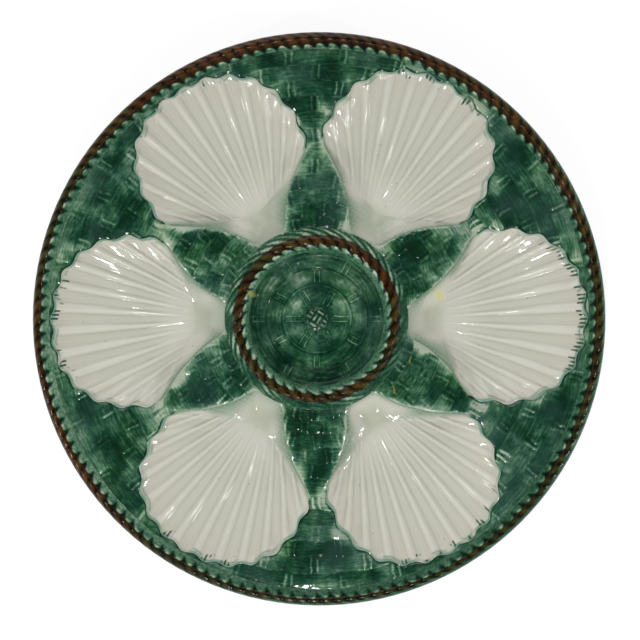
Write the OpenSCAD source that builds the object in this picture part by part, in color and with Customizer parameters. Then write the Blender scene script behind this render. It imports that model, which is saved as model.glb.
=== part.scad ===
// Round oyster plate in glazed earthenware: a basket-weave ground, six scallop-shell
// wells round a small sauce well, one rope border round the rim and one round the centre.
// Millimetres. The plate rests on the table at z = 0 and its centre is the Z axis.
// Well 1 points along +X, and the others follow anticlockwise.
// In a well's own plan, u runs outward from the plate's centre and v runs across.

/* [Plate] */
// Outside diameter of the plate
plate_d = 250; // [244:1:270]
// Height from the table to the crest of the rim rope
plate_h = 26.5; // [25:0.5:32]
// Thickness of the cast wall
wall = 4.5; // [4:0.25:5.5]
// Depth by which the ground dips from the rim rope to the centre rope
dish = 6; // [4:0.5:8]
// How late the ground starts to climb toward the rim
ground_curve = 1.3; // [1:0.1:2]
// Width of the plain edge outside the rim rope
edge_w = 0.9; // [0.6:0.1:2]
// Clearance between pieces that seat in each other
seat_fit = 0.1; // [0.05:0.05:0.2]

/* [Foot ring] */
// Diameter of the foot ring at the middle of its width
foot_d = 132; // [126:1:140]
// Width of the foot ring
foot_w = 5; // [4:0.5:7]
// Height of the foot ring under the well floors
foot_h = 4; // [3:0.5:6]

/* [Rope borders] */
// Width of the rim rope
rim_rope_w = 5.8; // [5:0.1:7]
// Height of the rim rope above its seat
rim_rope_h = 4.6; // [4:0.1:5.5]
// Number of strands in the rim rope
rim_strands = 136; // [120:1:140]
// Diameter of the centre rope along its middle
centre_rope_d = 68.8; // [64:0.2:70]
// Width of the centre rope
centre_rope_w = 9.6; // [8:0.1:10]
// Height of the centre rope above its seat
centre_rope_h = 5.8; // [5:0.1:7]
// Number of strands in the centre rope
centre_strands = 37; // [30:1:44]
// Depth of the groove between two rope strands
strand_groove = 0.9; // [0.5:0.1:1.2]

/* [Shell wells] */
// Number of shell wells
wells = 6; // [6:1:6]
// Gap between the fans of two neighbouring shells
shell_gap = 5.4; // [4:0.2:9]
// How far the fan leans off the well's axis
fan_shift = 1.3; // [0:0.1:2]
// Gap between the shell's lip and the rim rope
tip_gap = 0.9; // [0.5:0.1:3]
// Gap between the shell's hinge and the centre rope
hinge_gap = 1.5; // [1:0.1:4]
// Width of the shell's hinge edge
hinge_w = 15; // [12:0.5:18]
// How far the hinge edge sits off the well's axis, on the side that the fan leans from
hinge_shift = 0.8; // [0.4:0.1:1.5]
// Number of lobes on the fan's edge, with a rib between each two
lobes = 13; // [9:2:15]
// Angle that the ribs fan out over
fan_angle = 104; // [100:1:108]
// How far each lobe bulges past the ends of its ribs
lobe_out = 1.3; // [0.5:0.1:1.6]
// How far the fan's flanks stand out past its circle
flank_out = 2; // [0.5:0.1:2.5]
// How far the shoulders between hinge and fan are hollowed
shoulder_bow = 3.1; // [1:0.1:4]
// Width of the raised lip round each shell
lip_w = 1.6; // [1.2:0.1:2.2]
// Height of the raised lip above the ground beside it
lip_h = 0.9; // [0.5:0.1:1.4]
// Height of the ribs above the channels between them
rib_h = 0.9; // [0.5:0.1:1.4]

/* [Weave] */
// Number of woven bands from the centre rope to the rim rope
weave_bands = 12; // [10:1:14]
// How much wider the bands get toward the rim
weave_growth = 1.06; // [1:0.01:1.3]
// Thickness of the woven skin at a band's edges
weave_t = 0.8; // [0.6:0.1:1.2]
// Height by which each band swells at its middle
weave_swell = 0.6; // [0.3:0.1:0.8]
// Number of stakes that cross each band in a full turn
stakes = 30; // [24:6:36]
// Distance between the two thin bars of a stake
bar_pitch = 2.7; // [2:0.1:3.5]
// Width of one bar
bar_w = 0.8; // [0.6:0.1:1.2]
// Height of a bar above the crest of its band
bar_h = 0.3; // [0.2:0.1:0.5]

/* [Centre well] */
// Diameter of the inner woven ring on the centre well's floor
inner_ring_d = 31; // [26:1:34]
// Diameter of the middle woven ring on the centre well's floor
middle_ring_d = 45; // [42:0.5:48]
// Number of stakes that cross each woven ring
ring_stakes = 6; // [4:1:8]
// Diameter of the woven knot at the very centre
knot_d = 11; // [9:0.5:14]
// Height of the woven knot above the floor
knot_h = 1.6; // [1:0.1:2.5]

/* [Hidden] */
$fn = 96;

// Glaze colours
GREEN = "#2f6b50";
PALE_GREEN = "#6f9c7c";
CREAM = "#c9c6ba";
BROWN = "#5a2f1a";

// Radii and heights that the rest is worked out from
plate_r = plate_d / 2;
rim_out_r = plate_r - edge_w;
rim_in_r = rim_out_r - rim_rope_w;
centre_out_r = (centre_rope_d + centre_rope_w) / 2;
centre_mid_r = centre_rope_d / 2;
centre_in_r = (centre_rope_d - centre_rope_w) / 2;
rim_seat_z = plate_h - rim_rope_h;
centre_seat_z = rim_seat_z - dish;
floor_z = foot_h + wall;
// How far the sauce well's floor rises from its middle to the edge of its woven rings
floor_rise = 0.4;
well_turn = 360 / wells;

// Height of the ground at a radius
function ground_z(r) =
    let (k = max(0, min(1, (r - centre_out_r) / (rim_in_r - centre_out_r))))
    centre_seat_z + dish * pow(k, ground_curve);

// Radius of the edge between two woven bands, counted from the centre rope
function band_r(k) =
    centre_out_r + (rim_in_r - centre_out_r) * pow(k / weave_bands, weave_growth);

// Places along a shell well
hinge_u = centre_out_r + hinge_gap;
lip_u = rim_in_r - tip_gap;
fan_reach = lip_u - lobe_out;
fan_share = sin(180 / wells);
fan_r = (fan_reach * fan_share - shell_gap / 2) / (1 + fan_share);
fan_u = fan_reach - fan_r;
rib_focus_u = hinge_u - 0.7;
half_fan = fan_angle / 2;
// How closely the ribs gather toward the middle of the hinge
hinge_gather = 1.2;

// Point on the fan's edge on the ray at angle a from the ribs' focus, moved out by more
function fan_point(a, more) =
    let (
        ray = [cos(a), sin(a)],
        to_middle = [fan_u - rib_focus_u, fan_shift],
        along = to_middle * ray,
        aside = to_middle * to_middle - along * along,
        flank = flank_out * pow(sin(180 * a / half_fan), 2),
        reach = along + sqrt(max(0, fan_r * fan_r - aside)) + flank
    )
    [rib_focus_u, 0] + (reach + more) * ray;

// End of the fan's edge and corner of the hinge, on the side +1 or -1
function ear(side) = fan_point(side * half_fan, 0);
function corner(side, inset) = [hinge_u + inset, side * (hinge_w / 2 - 0.4 * inset)];
// Direction across a shoulder toward the inside of the shell
function shoulder_in(side) =
    let (run = ear(side) - corner(side, 0) + [0, hinge_shift])
    side * [run[1], -run[0]] / norm(run);

// Steps across the fan, three to a lobe, with a rib on every third one
steps = 3 * lobes;
function is_rib(j) = j % 3 == 0;
function step_side(j) = 2 * j / steps - 1;

// Rows from the hinge to the fan's edge, as shares of the way, and how much of the
// shoulder's hollow each has
ROWS = [0, 0.08, 0.28, 0.45, 0.62, 0.77, 0.9, 1];
BEND = [0, 0.4, 1, 1, 1, 0.605, 0.263, 0];
last_row = len(ROWS) - 1;
// Rows and steps that the underside keeps
UNDER_ROWS = [0, 1, 2, 4];
UNDER_STEPS = [for (k = [0 : 6]) round(k * steps / 6)];

// Plan of a shell well at step j and row i, with the outline drawn in by inset
function plan_point(j, i, inset) =
    let (
        s = step_side(j),
        side = s < 0 ? -1 : 1,
        squeeze = 1 - asin(inset / norm(ear(side) - [rib_focus_u, 0])) / half_fan,
        lobe = is_rib(j) ? 0 : lobe_out,
        edge = fan_point(s * half_fan * squeeze, lobe - inset),
        share = pow(abs(s), hinge_gather),
        hinge = [hinge_u + inset, share * corner(side, inset)[1] - hinge_shift],
        hollow = BEND[i] * shoulder_bow * pow(abs(s), 5)
    )
    hinge + ROWS[i] * (edge - hinge) + hollow * shoulder_in(side);

// Share of the full depth at step j and row i: steep behind the hinge, a flat floor,
// then a long rise to the fan's edge and up both sides
function depth_share(j, i) =
    let (
        t = ROWS[i],
        fall = 1 - pow(1 - min(1, t / 0.11), 2),
        rise = 1 - pow(max(0, (t - 0.22) / 0.78), 1.8)
    )
    fall * rise * (1 - pow(abs(step_side(j)), 3));

// Height of the bowl's inside at step j and row i
function bowl_z(j, i, p) =
    let (
        w = depth_share(j, i),
        edge_z = ground_z(norm(p)) - 0.4,
        ribbed = max(0, min(1, (ROWS[i] - 0.2) / 0.3)) * (i < last_row ? 1 : 0.3),
        rib = is_rib(j) && j > 0 && j < steps ? 0.65 * rib_h : -0.35 * rib_h
    )
    edge_z + (floor_z - edge_z) * w + rib * ribbed;

// Height of the bowl's underside, one wall below the inside without its ribs
function under_z(j, i, p, drop) =
    let (edge_z = ground_z(norm(p)) - weave_t)
    edge_z + (floor_z - edge_z) * depth_share(j, i) - wall - drop;

function with_z(p, z) = [p[0], p[1], z];

// Points once round the outline, anticlockwise: fan's edge, far shoulder, hinge, near
// shoulder
ROUND = concat(
    [for (j = [0 : steps]) [j, last_row]],
    [for (i = [last_row - 1 : -1 : 0]) [steps, i]],
    [for (j = [steps - 1 : -1 : 0]) [j, 0]],
    [for (i = [1 : last_row - 1]) [0, i]]
);
turns = len(ROUND);

// Outline of a shell well in plan, grown outward by more
function well_outline(more) = [for (q = ROUND) plan_point(q[0], q[1], -more)];

// Numbers of the points in a shell's list: the inside grid, the outline, the underside's
// edge along the fan, then the underside's grid
inside_0 = 0;
outline_0 = inside_0 + (steps + 1) * (last_row + 1);
under_edge_0 = outline_0 + turns;
under_0 = under_edge_0 + steps + 1;
function inside(j, i) = inside_0 + j * (last_row + 1) + i;
function under_edge(j) = under_edge_0 + j;
function under(k, m) = under_0 + k * len(UNDER_ROWS) + m;
function top_hinge(j) = outline_0 + steps + last_row + (steps - j);
function near_side(i) = i == 0 ? top_hinge(0) : outline_0 + turns - last_row + i;
function far_side(i) = outline_0 + steps + (last_row - i);
// The underside's column that serves the stretch from step j to j + 1
function column_at(j) = round((j + 0.5) / steps * 6);

// Faces are listed anticlockwise seen from outside, and outward() turns them round
function outward(faces) = [for (f = faces) [for (n = [len(f) - 1 : -1 : 0]) f[n]]];
function quad(a, b, c, d) = [[a, b, c], [a, c, d]];
function join(lists) = [for (l = lists) for (x = l) x];

// Underside points of a shell, lowered by drop
function under_points(drop) = concat(
    [for (j = [0 : steps])
        let (p = plan_point(j, last_row, 0))
        with_z(p, under_z(j, last_row, p, drop))],
    [for (j = UNDER_STEPS) for (i = UNDER_ROWS)
        let (p = plan_point(j, i, 0))
        with_z(p, under_z(j, i, p, drop))]
);

// Underside faces: a coarse grid, and a strip that meets every lobe of the fan's edge
under_faces = concat(
    join([for (k = [0 : 5]) for (m = [0 : 2])
        quad(under(k, m), under(k + 1, m), under(k + 1, m + 1), under(k, m + 1))]),
    [for (j = [0 : steps - 1]) [under_edge(j), under(column_at(j), 3), under_edge(j + 1)]],
    [for (j = [1 : steps - 1]) if (column_at(j) != column_at(j - 1))
        [under_edge(j), under(column_at(j - 1), 3), under(column_at(j), 3)]]
);

// Side walls of a shell: along the fan's edge, the hinge and the two shoulders
fan_wall = join([for (j = [0 : steps - 1])
    quad(outline_0 + j, under_edge(j), under_edge(j + 1), outline_0 + j + 1)]);
hinge_wall = concat(
    [for (j = [0 : steps - 1]) [top_hinge(j), top_hinge(j + 1), under(column_at(j), 0)]],
    [for (j = [1 : steps - 1]) if (column_at(j) != column_at(j - 1))
        [top_hinge(j), under(column_at(j), 0), under(column_at(j - 1), 0)]]
);
near_wall = [
    [near_side(0), under(0, 0), under(0, 1), near_side(1)],
    [near_side(1), under(0, 1), under(0, 2), near_side(2)],
    [near_side(2), under(0, 2), under(0, 3), near_side(4), near_side(3)],
    [near_side(4), under(0, 3), under_edge(0), outline_0, near_side(6), near_side(5)]
];
far_wall = [
    [far_side(0), far_side(1), under(6, 1), under(6, 0)],
    [far_side(1), far_side(2), under(6, 2), under(6, 1)],
    [far_side(2), far_side(3), far_side(4), under(6, 3), under(6, 2)],
    [far_side(4), far_side(5), far_side(6), outline_0 + steps, under_edge(steps), under(6, 3)]
];
shell_walls = concat(fan_wall, hinge_wall, near_wall, far_wall);

// Cup of one shell well along +X: fluted inside, raised lip, smooth underside
module shell_cup() {
    grid = [for (j = [0 : steps]) for (i = [0 : last_row])
        let (p = plan_point(j, i, lip_w))
        with_z(p, bowl_z(j, i, p))];
    rim = [for (q = ROUND)
        let (p = plan_point(q[0], q[1], 0))
        with_z(p, ground_z(norm(p)) + lip_h)];
    grid_faces = join([for (j = [0 : steps - 1]) for (i = [0 : last_row - 1])
        quad(inside(j, i), inside(j, i + 1), inside(j + 1, i + 1), inside(j + 1, i))]);
    lip_faces = join([for (n = [0 : turns - 1])
        let (
            a = ROUND[n],
            b = ROUND[(n + 1) % turns]
        )
        quad(outline_0 + n, outline_0 + (n + 1) % turns, inside(b[0], b[1]), inside(a[0], a[1]))]);
    polyhedron(
        concat(grid, rim, under_points(0)),
        outward(concat(
            grid_faces, lip_faces, shell_walls, under_faces
        ))
    );
}

// Space above a shell's underside, which cuts the foot ring where the shell sits on it
module above_shell() {
    top = [for (q = ROUND) with_z(plan_point(q[0], q[1], 0), plate_h)];
    grid = [for (j = [0 : steps]) for (i = [0 : last_row]) [0, 0, 0]];
    polyhedron(
        concat(grid, top, under_points(seat_fit)),
        outward(concat(
            [[for (n = [0 : turns - 1]) outline_0 + n]],
            shell_walls, under_faces
        ))
    );
}

// Band at which neighbouring wells come closest, between the pads and the panels
pinch_band = round(weave_bands * 0.5);

// Turns what it holds to well or gap number n
module at_well(n) {
    rotate(well_turn * (n - 1)) children();
}

// Hole through the ground for one well
module well_hole() {
    translate([0, 0, -1]) linear_extrude(plate_h + 2) polygon(well_outline(seat_fit));
}

// Cast body: the dished ground between the wells, the two rope seats and the plain edge
module plate_body() {
    inner_r = centre_mid_r + seat_fit;
    bands = [for (k = [0 : weave_bands]) band_r(k)];
    difference() {
        color(GREEN) rotate_extrude() polygon(concat(
            [[inner_r, centre_seat_z - wall], [inner_r, centre_seat_z],
                [centre_out_r, centre_seat_z]],
            [for (r = bands) [r, ground_z(r) - weave_t]],
            [[rim_in_r, rim_seat_z], [rim_out_r, rim_seat_z],
                [plate_r - 0.3 * edge_w, rim_seat_z - 0.5], [plate_r, rim_seat_z - 1.6],
                [plate_r - 0.4, rim_seat_z - 3], [rim_out_r - 2.2, rim_seat_z - wall]],
            [for (n = [3 : -1 : 1])
                let (r = centre_out_r + (rim_in_r - centre_out_r) * n / 4)
                [r, ground_z(r) - weave_t - wall]]
        ));
        for (n = [1 : wells]) at_well(n) well_hole();
    }
}

// Foot ring that the plate stands on: low under the shells, taller in the gaps between
module foot_ring() {
    in_r = (foot_d - foot_w) / 2;
    out_r = (foot_d + foot_w) / 2;
    top_z = ground_z(in_r) - weave_t - wall - 0.8;
    color(GREEN) difference() {
        rotate_extrude() polygon([[in_r + 0.8, 0], [out_r - 0.8, 0], [out_r, 0.8],
            [out_r, top_z], [in_r, top_z], [in_r, 0.8]]);
        for (n = [1 : wells]) at_well(n) above_shell();
    }
}

// Twisted rope laid in a ring: a round section that its grooves cross at a slant. The
// strands run outward as they go anticlockwise.
module rope_ring(middle_r, width, height, strands, seat_z, per_strand, sides) {
    a = width / 2;
    centre = height - a;
    base_angle = asin(centre / a);
    pitch = 360 / strands;
    count = strands * per_strand;
    points = [for (i = [0 : count - 1]) for (k = [0 : sides])
        let (
            turn = 180 + base_angle - (180 + 2 * base_angle) * k / sides,
            deep = i % per_strand == 0 ? strand_groove : 0,
            across = (a - deep) * cos(turn),
            up = k == 0 || k == sides ? 0 : centre + (a - deep) * sin(turn),
            theta = pitch * (i / per_strand + k / sides - 0.5)
        )
        [(middle_r + across) * cos(theta), (middle_r + across) * sin(theta), seat_z + up]];
    ring = sides + 1;
    faces = join([for (i = [0 : count - 1]) for (k = [0 : sides])
        let (
            next = (i + 1) % count,
            up = (k + 1) % ring
        )
        quad(i * ring + k, i * ring + up, next * ring + up, next * ring + k)]);
    polyhedron(points, faces);
}

module rim_rope() {
    color(BROWN) rope_ring(rim_out_r - rim_rope_w / 2, rim_rope_w, rim_rope_h,
        rim_strands, rim_seat_z, 2, 6);
}

module centre_rope() {
    color(BROWN) rope_ring(centre_mid_r, centre_rope_w, centre_rope_h,
        centre_strands, centre_seat_z, 3, 6);
}

// Sauce well in the middle: a shallow cup that seats under the centre rope
module centre_well() {
    floor_r = middle_ring_d / 2;
    color(GREEN) rotate_extrude() polygon([
        [0, floor_z - wall], [0, floor_z], [floor_r, floor_z + floor_rise],
        [centre_in_r - 2, floor_z + 2.4], [centre_in_r + 0.6, centre_seat_z],
        [centre_mid_r, centre_seat_z], [centre_mid_r, centre_seat_z - wall],
        [centre_in_r + 1.6, floor_z - 0.6], [floor_r, floor_z + floor_rise - wall]
    ]);
}

// Woven rings on the sauce well's floor. The stakes of one ring stand between the other's.
module centre_weave() {
    edges = [knot_d / 2 + 0.3, inner_ring_d / 2, middle_ring_d / 2];
    color(GREEN) for (m = [0, 1]) {
        in_r = edges[m];
        out_r = edges[m + 1];
        base = floor_z + floor_rise * in_r / edges[2];
        top = floor_z + floor_rise * out_r / edges[2];
        middle = (in_r + out_r) / 2;
        rotate_extrude() polygon([
            [in_r, base], [in_r + 0.3, base + 0.4], [middle - 1.5, base + weave_t],
            [middle + 1.5, top + weave_t], [out_r - 0.3, top + 0.4], [out_r, top]
        ]);
        for (n = [0 : ring_stakes - 1])
            rotate((n + m / 2) * 360 / ring_stakes)
                stake_bars(in_r + 1, out_r - 1, base + 0.3, top + 0.3, weave_t - 0.3 + bar_h);
    }
}

// Woven knot at the very centre: three strips over three
module centre_knot() {
    strip = knot_d / 4;
    color(PALE_GREEN) intersection() {
        translate([0, 0, floor_z]) cylinder(d = knot_d, h = knot_h);
        union() {
            translate([0, 0, floor_z]) cylinder(d = knot_d, h = knot_h * 0.6);
            for (n = [-1 : 1]) {
                translate([n * strip * 1.25 - strip / 2, -knot_d / 2, floor_z])
                    cube([strip, knot_d, knot_h * 0.85]);
                translate([-knot_d / 2, n * strip * 1.25 - strip / 2, floor_z])
                    cube([knot_d, strip, knot_h]);
            }
        }
    }
}

// Two thin bars of a stake along +X, from radius r0 to r1. Their undersides run from z0
// to z1 and they are tall high.
module stake_bars(r0, r1, z0, z1, tall) {
    for (side = [-1, 1])
        translate([0, side * bar_pitch / 2 + bar_w / 2, 0]) rotate([90, 0, 0])
            linear_extrude(bar_w) polygon([[r0, z0], [r1, z1], [r1, z1 + tall], [r0, z0 + tall]]);
}

// How far a point of the plate's plan lies outside well 1 or well 2, whichever is nearer,
// measured from the fan's centre
FAN_MIDDLE = [fan_u, fan_shift];
OUTLINE = [for (p = well_outline(0))
    let (d = p - FAN_MIDDLE)
    [atan2(d[1], d[0]), norm(d)]];
function turned(p, a) = [p[0] * cos(a) + p[1] * sin(a), p[1] * cos(a) - p[0] * sin(a)];
function outside_well(p) =
    let (d = p - FAN_MIDDLE)
    norm(d) - lookup(atan2(d[1], d[0]), OUTLINE);
function outside_wells(p) = min(outside_well(p), outside_well(turned(p, well_turn)));

// Stakes across bands a to b, between well 1 and well 2. They alternate from band to band,
// and one that a shell would cut is left out.
module stakes_between(a, b) {
    step = 360 / stakes;
    half_w = (bar_pitch + bar_w) / 2;
    for (k = [a : b - 1]) {
        r0 = band_r(k) + 0.5;
        r1 = band_r(k + 1) - 0.5;
        for (turn = [(k % 2 == 0 ? step / 2 : 0) : step : well_turn]) {
            corners = [for (r = [r0, (r0 + r1) / 2, r1]) for (v = [-half_w, half_w]) turned([r, v], -turn)];
            if (min([for (p = corners) outside_wells(p)]) > 0.6)
                rotate(turn) stake_bars(r0, r1, ground_z(r0) - weave_t / 2, ground_z(r1) - weave_t / 2,
                    weave_t / 2 + weave_swell + bar_h);
        }
    }
}

// Woven skin over the ground between bands a and b, in the gap after well n
module weave_skin(n, a, b) {
    swell = [[0.25, 0.8], [0.5, 1], [0.75, 0.8]];
    upper = [for (k = [a : b - 1]) for (q = concat([[0, 0]], swell))
        let (r = band_r(k + q[0]))
        [r, ground_z(r) + q[1] * weave_swell]];
    under = [for (k = [b : -1 : a]) [band_r(k), ground_z(band_r(k)) - weave_t]];
    at_well(n) {
        difference() {
            rotate_extrude(angle = well_turn)
                polygon(concat(upper, [[band_r(b), ground_z(band_r(b))]], under));
            well_hole();
            at_well(2) well_hole();
        }
        stakes_between(a, b);
    }
}

module shell_well_1() { color(CREAM) at_well(1) shell_cup(); }
module shell_well_2() { color(CREAM) at_well(2) shell_cup(); }
module shell_well_3() { color(CREAM) at_well(3) shell_cup(); }
module shell_well_4() { color(CREAM) at_well(4) shell_cup(); }
module shell_well_5() { color(CREAM) at_well(5) shell_cup(); }
module shell_well_6() { color(CREAM) at_well(6) shell_cup(); }
module weave_panel_1() { color(GREEN) weave_skin(1, pinch_band, weave_bands); }
module weave_panel_2() { color(GREEN) weave_skin(2, pinch_band, weave_bands); }
module weave_panel_3() { color(GREEN) weave_skin(3, pinch_band, weave_bands); }
module weave_panel_4() { color(GREEN) weave_skin(4, pinch_band, weave_bands); }
module weave_panel_5() { color(GREEN) weave_skin(5, pinch_band, weave_bands); }
module weave_panel_6() { color(GREEN) weave_skin(6, pinch_band, weave_bands); }
module weave_pad_1() { color(GREEN) weave_skin(1, 0, pinch_band); }
module weave_pad_2() { color(GREEN) weave_skin(2, 0, pinch_band); }
module weave_pad_3() { color(GREEN) weave_skin(3, 0, pinch_band); }
module weave_pad_4() { color(GREEN) weave_skin(4, 0, pinch_band); }
module weave_pad_5() { color(GREEN) weave_skin(5, 0, pinch_band); }
module weave_pad_6() { color(GREEN) weave_skin(6, 0, pinch_band); }

plate_body();
foot_ring();
rim_rope();
centre_rope();
centre_well();
centre_weave();
centre_knot();
shell_well_1();
shell_well_2();
shell_well_3();
shell_well_4();
shell_well_5();
shell_well_6();
weave_panel_1();
weave_panel_2();
weave_panel_3();
weave_panel_4();
weave_panel_5();
weave_panel_6();
weave_pad_1();
weave_pad_2();
weave_pad_3();
weave_pad_4();
weave_pad_5();
weave_pad_6();
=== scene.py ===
"""Looks of a round oyster plate in majolica: relief-moulded earthenware under coloured lead glazes.

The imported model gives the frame. Every visible piece is made here as a surface worked out with numpy
in millimetres, in the same place as the solid that it replaces. In a well's own plan u runs outward
from the plate's centre and v runs across, anticlockwise.
"""
import logging
import math
from dataclasses import dataclass
from enum import Enum
from functools import partial

import bpy
import numpy as np
from mathutils import Matrix, Vector


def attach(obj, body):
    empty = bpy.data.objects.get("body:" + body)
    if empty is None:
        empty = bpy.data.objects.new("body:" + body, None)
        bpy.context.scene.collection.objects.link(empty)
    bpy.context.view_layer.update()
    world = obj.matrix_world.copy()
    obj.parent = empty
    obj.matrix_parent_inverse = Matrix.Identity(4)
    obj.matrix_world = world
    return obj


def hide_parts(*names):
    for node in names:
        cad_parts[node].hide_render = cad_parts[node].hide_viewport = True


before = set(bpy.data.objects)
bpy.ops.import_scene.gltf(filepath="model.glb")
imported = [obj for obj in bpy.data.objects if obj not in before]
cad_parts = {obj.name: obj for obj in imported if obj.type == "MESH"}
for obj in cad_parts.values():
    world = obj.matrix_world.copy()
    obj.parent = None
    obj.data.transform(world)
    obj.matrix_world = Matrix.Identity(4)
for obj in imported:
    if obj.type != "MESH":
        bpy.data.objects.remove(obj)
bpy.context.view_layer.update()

BODY = "root"
MM = 0.001
CRISP_DEGREES = 62
LOG = logging.getLogger("oyster_plate")
Array = np.ndarray
Socket = bpy.types.NodeSocket

# Stray drips of glaze: x, y, direction in degrees, half length, half width, strength
DRIPS = (
    (54.3, 10.6, 120.0, 2.5, 1.5, 0.85), (-28.6, 10.9, 100.0, 1.3, 1.0, 0.75),
    (41.4, -17.9, 80.0, 1.6, 0.4, 0.6), (34.2, -31.2, 110.0, 1.8, 0.4, 0.6),
)


class Slot(Enum):
    """Material slots of the record."""

    GREEN = "green_glaze"
    PALE_GREEN = "pale_green_glaze"
    CREAM = "cream_glaze"
    BROWN = "brown_glaze"


class Foot(Enum):
    """Side on which a rope's foot runs out softly into the ground."""

    INNER = "inner"
    OUTER = "outer"


@dataclass(frozen=True)
class PlateSizes:
    """Sizes of the plate in millimetres, the same as in the part's source."""

    plate_r: float = 125.0
    plate_h: float = 26.5
    wall: float = 4.5
    dish: float = 6.0
    ground_curve: float = 1.3
    edge_w: float = 0.9
    foot_r: float = 66.0
    foot_w: float = 5.0
    foot_h: float = 4.0
    rim_rope_w: float = 5.8
    rim_rope_h: float = 4.6
    rim_strands: int = 136
    centre_rope_r: float = 34.4
    centre_rope_w: float = 9.6
    centre_rope_h: float = 5.8
    centre_strands: int = 37
    wells: int = 6
    weave_bands: int = 12
    weave_growth: float = 1.06
    weave_t: float = 0.8
    weave_swell: float = 0.6
    stakes: int = 30
    bar_pitch: float = 2.7
    bar_w: float = 0.8
    inner_ring_r: float = 15.5
    middle_ring_r: float = 22.5
    ring_stakes: int = 6
    knot_r: float = 5.5
    knot_h: float = 1.6
    floor_rise: float = 0.4

    @property
    def rim_out_r(self) -> float:
        """Radius of the rim rope's outer side."""
        return self.plate_r - self.edge_w

    @property
    def rim_in_r(self) -> float:
        """Radius of the rim rope's inner side."""
        return self.rim_out_r - self.rim_rope_w

    @property
    def centre_out_r(self) -> float:
        """Radius of the centre rope's outer side."""
        return self.centre_rope_r + self.centre_rope_w / 2

    @property
    def rim_seat_z(self) -> float:
        """Height that the rim rope sits at."""
        return self.plate_h - self.rim_rope_h

    @property
    def centre_seat_z(self) -> float:
        """Height that the centre rope sits at."""
        return self.rim_seat_z - self.dish

    @property
    def floor_z(self) -> float:
        """Height of the wells' floors."""
        return self.foot_h + self.wall

    @property
    def well_turn(self) -> float:
        """Angle from one well to the next."""
        return 2 * math.pi / self.wells

    @property
    def split_r(self) -> float:
        """Radius at which the pads between the wells give way to the panels, halfway up the bands."""
        span = self.rim_in_r - self.centre_out_r
        return self.centre_out_r + span * 0.5 ** self.weave_growth

    def climb(self, r: Array) -> Array:
        """Share of the way from the centre rope to the rim rope."""
        return np.clip((r - self.centre_out_r) / (self.rim_in_r - self.centre_out_r), 0, 1)

    def ground_z(self, r: Array) -> Array:
        """Height of the ground: flat by the centre rope, climbing as a power of the way to the rim."""
        return self.centre_seat_z + self.dish * self.climb(r) ** self.ground_curve


def smooth_step(x: Array, low: float, high: float) -> Array:
    """0 up to low, 1 from high on, and the cubic 3t^2 - 2t^3 between them."""
    t = np.clip((x - low) / (high - low), 0, 1)
    return t * t * (3 - 2 * t)


def bell(x: Array, width: float, power: float = 2) -> Array:
    """Bell curve round 0: e to the minus of a power of x over width."""
    return np.exp(-np.abs(x / width) ** power)


def once_round(columns: int) -> Array:
    """Angles of equal steps once round a ring."""
    return 2 * math.pi * np.arange(columns) / columns


def plan(r: Array, theta: Array) -> tuple:
    """Places x and y at distances r and angles theta."""
    return r * np.cos(theta), r * np.sin(theta)


def turned(x: Array, y: Array, angle: float) -> tuple:
    """Places x and y turned anticlockwise by an angle."""
    c, s = math.cos(angle), math.sin(angle)
    return x * c - y * s, x * s + y * c


def unrolled(r: Array, theta: Array, reach: float) -> Array:
    """Places along and across the weave, for the brush's streaks: r, and the arc at that reach."""
    r, theta = np.broadcast_arrays(r, theta)
    return np.stack([r, theta * reach, 0 * r], -1)


def drift(x: Array, y: Array, size: float, seed: int) -> Array:
    """Smooth random swell, mostly between -1 and 1: a sum of sine waves in random directions.

    Args:
        x: Places across, in millimetres.
        y: Places up.
        size: Typical distance from one crest to the next, in millimetres.
        seed: Seed of the draw.

    Returns:
        The swell at each place.
    """
    total = 0.0
    for heading, phase, stretch in np.random.RandomState(seed).uniform(0, 1, (12, 3)):
        turn = 2 * math.pi * heading
        wave = 2 * math.pi / size * (0.65 + 0.7 * stretch)
        total = total + np.sin(wave * (x * math.cos(turn) + y * math.sin(turn)) + 6.283 * phase)
    return total / 3.4


def stray_drips(x: Array, y: Array) -> Array:
    """How much of a stray drip each point has: flat-topped bells, longer than wide.

    Args:
        x: Places across the plate, in millimetres.
        y: Places up the plate.

    Returns:
        Shares from 0 to 1.
    """
    share = 0 * x
    for at_x, at_y, degrees, length, width, strength in DRIPS:
        along, aside = turned(x - at_x, y - at_y, -math.radians(degrees))
        aside = aside + 0.3 * drift(x, y, 3.0, 61)
        share = np.maximum(share, strength * bell(along, length, 4) * bell(aside, width, 4))
    return share


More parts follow.
